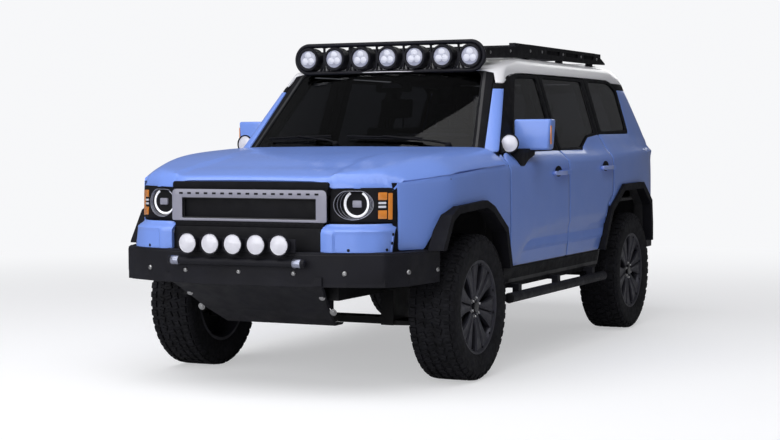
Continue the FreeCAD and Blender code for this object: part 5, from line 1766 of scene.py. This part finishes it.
rubber_ring = item_of(tyre())
alloy_ring = rim()
for corner, sign, y, angle in (("front_left", 1, 0.0, 0.31), ("front_right", -1, 0.0, 0.9),
                               ("rear_left", 1, REAR_AXLE, 0.71),
                               ("rear_right", -1, REAR_AXLE, 1.3)):
    for source, stem, slot_name in ((rubber_ring, "tyre", "tyre"),
                                    (alloy_ring, "rim", "wheel_alloy")):
        mesh = source.data.copy()
        obj = add_object("dressed_%s_%s" % (stem, corner), mesh)
        turn = Matrix.Rotation(angle, 4, "X")
        move = Matrix.Translation((sign * RIM_X, y + AXLE_Y, WHEEL_Z))
        flip = Matrix.Rotation(math.pi, 4, "Z") if sign < 0 else Matrix()
        mesh.transform(move @ flip @ turn)
        done(obj, "wheel_" + corner, ("%s_%s" % (stem, corner),))
SHIELD = [(0.100, -0.006), (0.228, -0.006), (0.228, -0.002), (0.100, -0.002), (0.100, -0.006)]
for y, stem, body in ((0.0, "front_shield", "knuckle"), (REAR_AXLE, "rear_shield", "root")):
    plate = turned(stem, SHIELD, (RIM_X, y, WHEEL_Z), (1, 0, 0), TRIM, 72)
    both(plate, body)
bpy.data.objects.remove(rubber_ring)
bpy.data.objects.remove(alloy_ring)
print("wheels dressed")

# %% [markdown]
# ## Rear
# The tailgate carries a painted sheet below and a black frame round its window. The lamps wrap
# the corners in red with one clear band, and the step on the bumper has a ribbed pad.

# %% Tailgate
gate = panel("tailgate_skin", rect(-0.684, 0.684, 0.757, 1.286, 0.015, 0.004), rear, BLUE,
             grid=0.05, lines=[[(-0.68, z), (0.68, z)] for z in (1.18, 1.21, 1.24)],
             outwards=BACKWARD)
done(gate, "tailgate")
REAR_GLASS = [(-0.602, 1.330), (-0.520, 1.700), (0.520, 1.700), (0.602, 1.330)]
trim = panel("tailgate_frame", rounded([(-0.683, 1.291, 0.004), (-0.571, 1.750), (0.571, 1.750),
                                        (0.683, 1.291, 0.004)], 0.02),
             rear, SEAL, [rounded(REAR_GLASS, 0.04)], grid=0.06, thick=0.02, edge=0.002,
             outwards=BACKWARD)
done(trim, "tailgate")
pane = panel("tailgate_pane", rounded([(-0.610, 1.322), (-0.527, 1.708), (0.527, 1.708),
                                       (0.610, 1.322)], 0.04),
             sunk(rear, 0.008), GLASS, grid=0.07, thick=0.004, edge=0, outwards=BACKWARD)
done(pane, "tailgate", ("tailgate_glass",))
plate = block("blank_plate", (-0.26, 3.750, 0.815), (0.26, 3.756, 0.925), WHITE, 0.002)
done(plate, "tailgate")
grip = block("tailgate_grip", (-0.30, 3.744, 0.948), (0.30, 3.768, 0.986), TRIM, 0.008, 3)
done(grip, "tailgate")
arm = tube("arm", [(0.0, 3.570, 1.338), (0.10, 3.572, 1.350), (0.31, 3.566, 1.366)], 0.007, SEAL)
blade = tube("blade", [(0.05, 3.668, 1.352), (0.25, 3.664, 1.356), (0.46, 3.652, 1.360)], 0.006,
             SEAL)
foot = turned("foot", [(0.0, 0.0), (0.026, 0.0), (0.024, 0.018), (0.0, 0.022)],
              (0.0, 3.684, 1.312), (0, 0.9, 0.45), SEAL, 28)
for v in arm.data.vertices:
    v.co.y += 0.100
done(join("rear_wiper", [arm, blade, foot]), "tailgate")
print("tailgate dressed")

# %% Tail lamps
def lamp_part(name, s0, s1, z0, z1, depth, thick, material):
    return panel(name, rect(s0, s1, z0, z1, 0.008), sunk(side, depth), material, grid=0.02,
                 thick=thick, edge=0.002, outwards=(0.5, 1, 0))


base = lamp_part("tail_base", 3.706, 3.847, 0.905, 1.218, 0.006, 0.03, GLOSS_BLACK)
both(base, "root")
glow = [lamp_part("red_top", 3.712, 3.842, 1.086, 1.211, -0.003, 0.012, RED),
        lamp_part("red_low", 3.712, 3.842, 0.912, 1.012, -0.003, 0.012, RED)]
lamp = both(join("tail_lens", glow), "root")[0]
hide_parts("tail_lamps")
clear = lamp_part("tail_clear", 3.712, 3.842, 1.020, 1.078, -0.003, 0.012, WHITE_LENS)
both(clear, "root")
print("tail lamps dressed")

# %% Rear bumper
pad = [block("pad", (-0.56, 3.790, 0.735), (0.56, 3.905, 0.740), TRIM, 0.002)]
pad += [block("rib", (-0.54, 3.800 + 0.016 * k, 0.739), (0.54, 3.807 + 0.016 * k, 0.743), TRIM,
              0.001, 1) for k in range(7)]
done(join("rear_step_pad", pad), "root")
spots = [((sign * x, y, 0.640), (sign * out, 1, 0), (1, 0, 0)) for sign in (-1, 1)
         for x, y, out in ((0.20, 3.9235, 0.01), (0.50, 3.9200, 0.012), (0.690, 3.893, 0.30))]
done(scattered("rear_bolts", dome_item(0.0125, 0.009), spots, BOLT), "root")
marks = [block("mark", (x - 0.055, 3.915, 0.580), (x + 0.055, 3.9275, 0.606), RED, 0.003)
         for x in (-0.42, 0.42)]
done(join("rear_reflectors", marks), "root")
print("rear bumper dressed")

# %% [markdown]
# ## Cowl and wipers
# Each wiper has a sprung arm over its blade, parked low on the screen.

# %% Wipers
def on_screen(x, z, lift):
    """A place over the windscreen, in front of its own face."""
    return sunk(screen, -lift)(x, z)


def wiper(pivot, x0, x1, z0, z1):
    """Arm, hinge, blade holder and rubber, from the pivot at the cowl."""
    middle = ((x0 + x1) / 2, (z0 + z1) / 2)
    foot = Vector(pivot)
    parts = [turned("hinge", [(0.0, -0.01), (0.019, -0.01), (0.018, 0.012), (0.012, 0.018),
                              (0.0, 0.019)], foot, (0, -0.5, 0.85), SEAL, 24)]
    end = Vector(on_screen(middle[0], middle[1], 0.026))
    parts.append(tube("arm", [foot + Vector((0, 0, 0.010)), foot.lerp(end, 0.2)
                              + Vector((0, -0.010, 0.016)), end], 0.0065, SEAL, 10))
    run = [(x0 + (x1 - x0) * k / 8, z0 + (z1 - z0) * k / 8) for k in range(9)]
    parts.append(tube("holder", [on_screen(x, z, 0.018) for x, z in run], 0.0055, SEAL, 8))
    parts.append(tube("rubber", [on_screen(x, z - 0.003, 0.009) for x, z in run], 0.004, RUBBER, 8))
    return parts


blades = wiper((0.600, 0.400, 1.312), -0.05, 0.434, 1.358, 1.346)
blades += wiper((-0.117, 0.345, 1.322), -0.62, -0.16, 1.346, 1.360)
done(join("wipers", blades), "root")
drain = item_of(block("slit", (-0.020, -0.003, -0.001), (0.020, 0.003, 0.002), SEAL, 0.001, 1))
spots = [((-0.66 + 0.06 * i, 0.40, 1.270), UPWARD, OUTWARD) for i in range(23)]
done(scattered("cowl_slits", drain, spots, SEAL), "root")
print("wipers dressed")

# %% [markdown]
# ## Cabin
# Behind the tinted glass stand the dashboard with its instrument hood and screen, the steering
# wheel, and soft seats. The seats are swelled with Blender's Cloth, one side is simulated, and
# the other is its mirror image.

# %% Dashboard
visor = [block("visor", (0.070, 0.640, 1.258), (0.650, 0.770, 1.372), DASH, 0.030, 4),
         block("dial", (0.140, 0.768, 1.278), (0.590, 0.776, 1.350), GLOSS_BLACK, 0.003)]
done(join("instrument_hood", visor), "root")
ledge = tube("ledge", [(0.07, 0.652, 1.372), (0.36, 0.640, 1.377), (0.60, 0.652, 1.372),
                       (0.655, 0.70, 1.352)], 0.011, GRILLE, 12)
done(ledge, "root")
screen_box = [block("case", (-0.175, 0.835, 1.085), (0.125, 0.862, 1.275), TRIM, 0.006),
              block("face", (-0.168, 0.860, 1.092), (0.118, 0.865, 1.268), GLOSS_BLACK, 0.002)]
done(join("centre_screen", screen_box), "root")
vents = []
for x0 in (-0.70, -0.42, 0.62):
    vents.append(block("vent", (x0, 0.846, 1.130), (x0 + 0.12, 0.858, 1.190), SEAL, 0.004))
    vents += [block("louvre", (x0 + 0.006, 0.856, 1.139 + 0.012 * k),
                    (x0 + 0.114, 0.861, 1.142 + 0.012 * k), TRIM, 0.001, 1) for k in range(4)]
done(join("dash_vents", vents), "root")
knob = turned("knob", [(0.0, 0.0), (0.030, 0.0), (0.014, 0.012), (0.011, 0.075), (0.022, 0.085),
                       (0.026, 0.105), (0.018, 0.125), (0.0, 0.128)], (0.0, 1.12, 0.958),
              (0, -0.15, 1), TRIM, 32)
cup_rings = [turned("cup_ring", [(0.032, 0.0), (0.042, 0.0), (0.042, 0.004), (0.038, 0.006),
                                 (0.034, 0.004), (0.032, 0.0)], (0.0, y, 0.958), (0, 0, 1),
                    BRIGHT, 32) for y in (1.26, 1.36)]
done(join("console_details", [knob] + cup_rings), "root")
head = panel("inner_mirror", rounded([(-0.070, 1.640), (-0.060, 1.702), (0.165, 1.702),
                                      (0.175, 1.640)], 0.025),
             at_y(0.800), TRIM, grid=0.2, thick=0.028, edge=0.008, outwards=FORWARD)
# Painted highlight: a small half-disc housing on the front of the inner mirror, pale for the glint
# seen there.
pod = panel("pod", [Vector((0.052 + 0.064 * math.cos(math.pi * k / 16),
                            1.668 + 0.034 * math.sin(math.pi * k / 16))) for k in range(17)],
            at_y(0.772), GRILLE, grid=0.1, thick=0.020, edge=0.006, outwards=FORWARD)
stem = tube("stem", [(0.052, 0.815, 1.690), (0.052, 0.790, 1.712)], 0.010, TRIM, 12)
done(join("inner_mirror_set", [head, pod, stem]), "root")
spokes = [block("spoke", (0.235, 0.966, 1.318), (0.505, 0.986, 1.350), DASH, 0.006, 2),
          turned("boss", [(0.0, -0.010), (0.056, -0.010), (0.058, 0.010), (0.050, 0.022),
                          (0.020, 0.028), (0.0, 0.028)], (0.370, 0.985, 1.340),
                 (0, 0.906, 0.423), TRIM, 40)]
done(join("wheel_boss", spokes), "steering_wheel")
dress("dashboard", DASH)
dress("steering_wheel", DASH)
print("dashboard dressed")

# %% Swell a pad with cloth
VOXEL = 0.010
CAP = 0.024


def bar(name, outline, x0, x1):
    """A solid with a (y, z) outline between two widths."""
    return panel(name, rounded(outline, 0.030), at_x(x1), FABRIC, grid=0.3, thick=x1 - x0,
                 edge=0.018)


def swelled(obj):
    """A finely meshed copy, blown up by cloth pressure, each point's travel capped."""
    mod = obj.modifiers.new("voxels", "REMESH")
    mod.mode = "VOXEL"
    mod.voxel_size = VOXEL
    apply_modifiers(obj)
    start = [v.co.copy() for v in obj.data.vertices]
    cloth = obj.modifiers.new("cloth", "CLOTH")
    cloth.settings.use_pressure = True
    cloth.settings.uniform_pressure_force = 4.0
    cloth.settings.effector_weights.gravity = 0.0
    for k in range(1, 21):
        bpy.context.scene.frame_set(k)
    apply_modifiers(obj)
    bpy.context.scene.frame_set(1)
    for v, first in zip(obj.data.vertices, start):
        way = v.co - first
        if way.length > CAP:
            v.co = first + way * (CAP / way.length)
    sub = obj.modifiers.new("smooth", "SUBSURF")
    sub.levels = 1
    sub.render_levels = 1
    apply_modifiers(obj)
    for p in obj.data.polygons:
        p.use_smooth = True
    obj.data.materials.clear()
    obj.data.materials.append(FABRIC)
    return obj


def seams(obj, runs):
    """Piping laid on the pad's face along runs of points, found from a place off the face."""
    graph = bpy.context.evaluated_depsgraph_get()
    tree = BVHTree.FromObject(obj, graph)
    lines = []
    for run, way in runs:
        points = []
        for p in divided([Vector(q) for q in run], 0.012, False):
            from_here = Vector((p.x, p.y + AXLE_Y, p.z)) - Vector(way) * 0.09
            hit = tree.ray_cast(from_here, Vector(way))[0]
            if hit:
                points.append((hit.x, hit.y - AXLE_Y, hit.z))
        lines.append(tube("seam", points, 0.0024, SEAL, 6))
    return lines


# %% Front seats
def upholstered(name, bars, runs, node):
    """Swelled cushion, back and head rest with their piping, and the mirror image of each."""
    soft = swelled(join(name, [bar("bar", *b) for b in bars]))
    piping = join("piping", seams(soft, runs))
    pads = join(name + "_pads", [soft, mirror(soft, "twin")])
    done(pads, "root", (node,))
    return join(name.split("_")[1] + "_piping", [mirror(piping, "twin"), piping])


seat = [([(1.112, 0.872), (1.112, 0.950), (1.570, 0.962), (1.570, 0.872)], 0.142, 0.598),
        ([(1.506, 0.990), (1.594, 0.990), (1.762, 1.446), (1.698, 1.446)], 0.152, 0.588),
        ([(1.704, 1.492), (1.766, 1.492), (1.794, 1.626), (1.742, 1.626)], 0.258, 0.482)]
down, back = (0, 0, -1), (0, 0.93, -0.36)
runs = [([(x, 1.14, 0.99), (x, 1.50, 0.99)], down) for x in (0.235, 0.505)]
runs += [([(0.235, y, 0.99), (0.505, y, 0.99)], down) for y in (1.24, 1.36)]
runs += [([(x, 1.52 + 0.19 * t, 1.06 + 0.36 * t) for t in (0.0, 0.5, 1.0)], back)
         for x in (0.240, 0.500)]
done(upholstered("front_seat", seat, runs, "front_seats"), "root")
frames = []
for sign in (-1, 1):
    low, high = sorted((sign * 0.150, sign * 0.590))
    frames.append(block("base", (low, 1.130, 0.700), (high, 1.540, 0.846), TRIM, 0.020, 3))
    for x in (0.31, 0.43):
        frames.append(tube("post", [(sign * x, 1.722, 1.430), (sign * x, 1.738, 1.510)], 0.007,
                           BRIGHT, 12))
    for x in (0.17, 0.57):
        frames.append(block("rail", (sign * x - 0.016, 1.10, 0.684),
                            (sign * x + 0.016, 1.58, 0.702), CAST, 0.003))
done(join("seat_frames", frames), "root")
print("front seats dressed")

# %% Rear bench
half = [([(1.984, 0.902), (1.984, 0.972), (2.406, 0.982), (2.406, 0.902)], 0.022, 0.566),
        ([(2.358, 1.018), (2.444, 1.018), (2.562, 1.444), (2.498, 1.444)], 0.022, 0.566),
        ([(2.508, 1.488), (2.566, 1.488), (2.584, 1.606), (2.544, 1.606)], 0.270, 0.470)]
runs = [([(x, 2.01, 1.01), (x, 2.33, 1.01)], down) for x in (0.12, 0.46)]
runs += [([(x, 2.36 + 0.13 * t, 1.07 + 0.34 * t) for t in (0.0, 0.5, 1.0)], back)
         for x in (0.12, 0.46)]
done(upholstered("rear_bench", half, runs, "rear_bench"), "root")
stand = [block("stand", (-0.575, 1.990, 0.700), (0.575, 2.420, 0.878), CARPET, 0.012)]
for x in (-0.42, -0.32, 0.32, 0.42):
    stand.append(tube("post", [(x, 2.528, 1.430), (x, 2.538, 1.500)], 0.007, BRIGHT, 12))
done(join("bench_frame", stand), "root")
print("rear bench dressed")

# %% [markdown]
# ## Parts under the body
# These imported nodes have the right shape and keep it. Each gets the finish it has in use.

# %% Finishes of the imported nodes
LINING = woven("roof_lining", (0.060, 0.060, 0.064), 700.0)
for node, material in (("body_side_left", CORE), ("body_side_right", CORE), ("tailgate", CORE),
                       ("front_wings", TRIM), ("cowl_panel", TRIM), ("roof_panel", LINING),
                       ("floor_pan", CARPET), ("ladder_frame", CHASSIS),
                       ("engine_block", CAST), ("front_suspension", CHASSIS),
                       ("rear_axle", CHASSIS), ("knuckle_left", CAST),
                       ("knuckle_right", CAST), ("rear_bumper", STEEL)):
    dress(node, material)
print("packed nodes dressed")
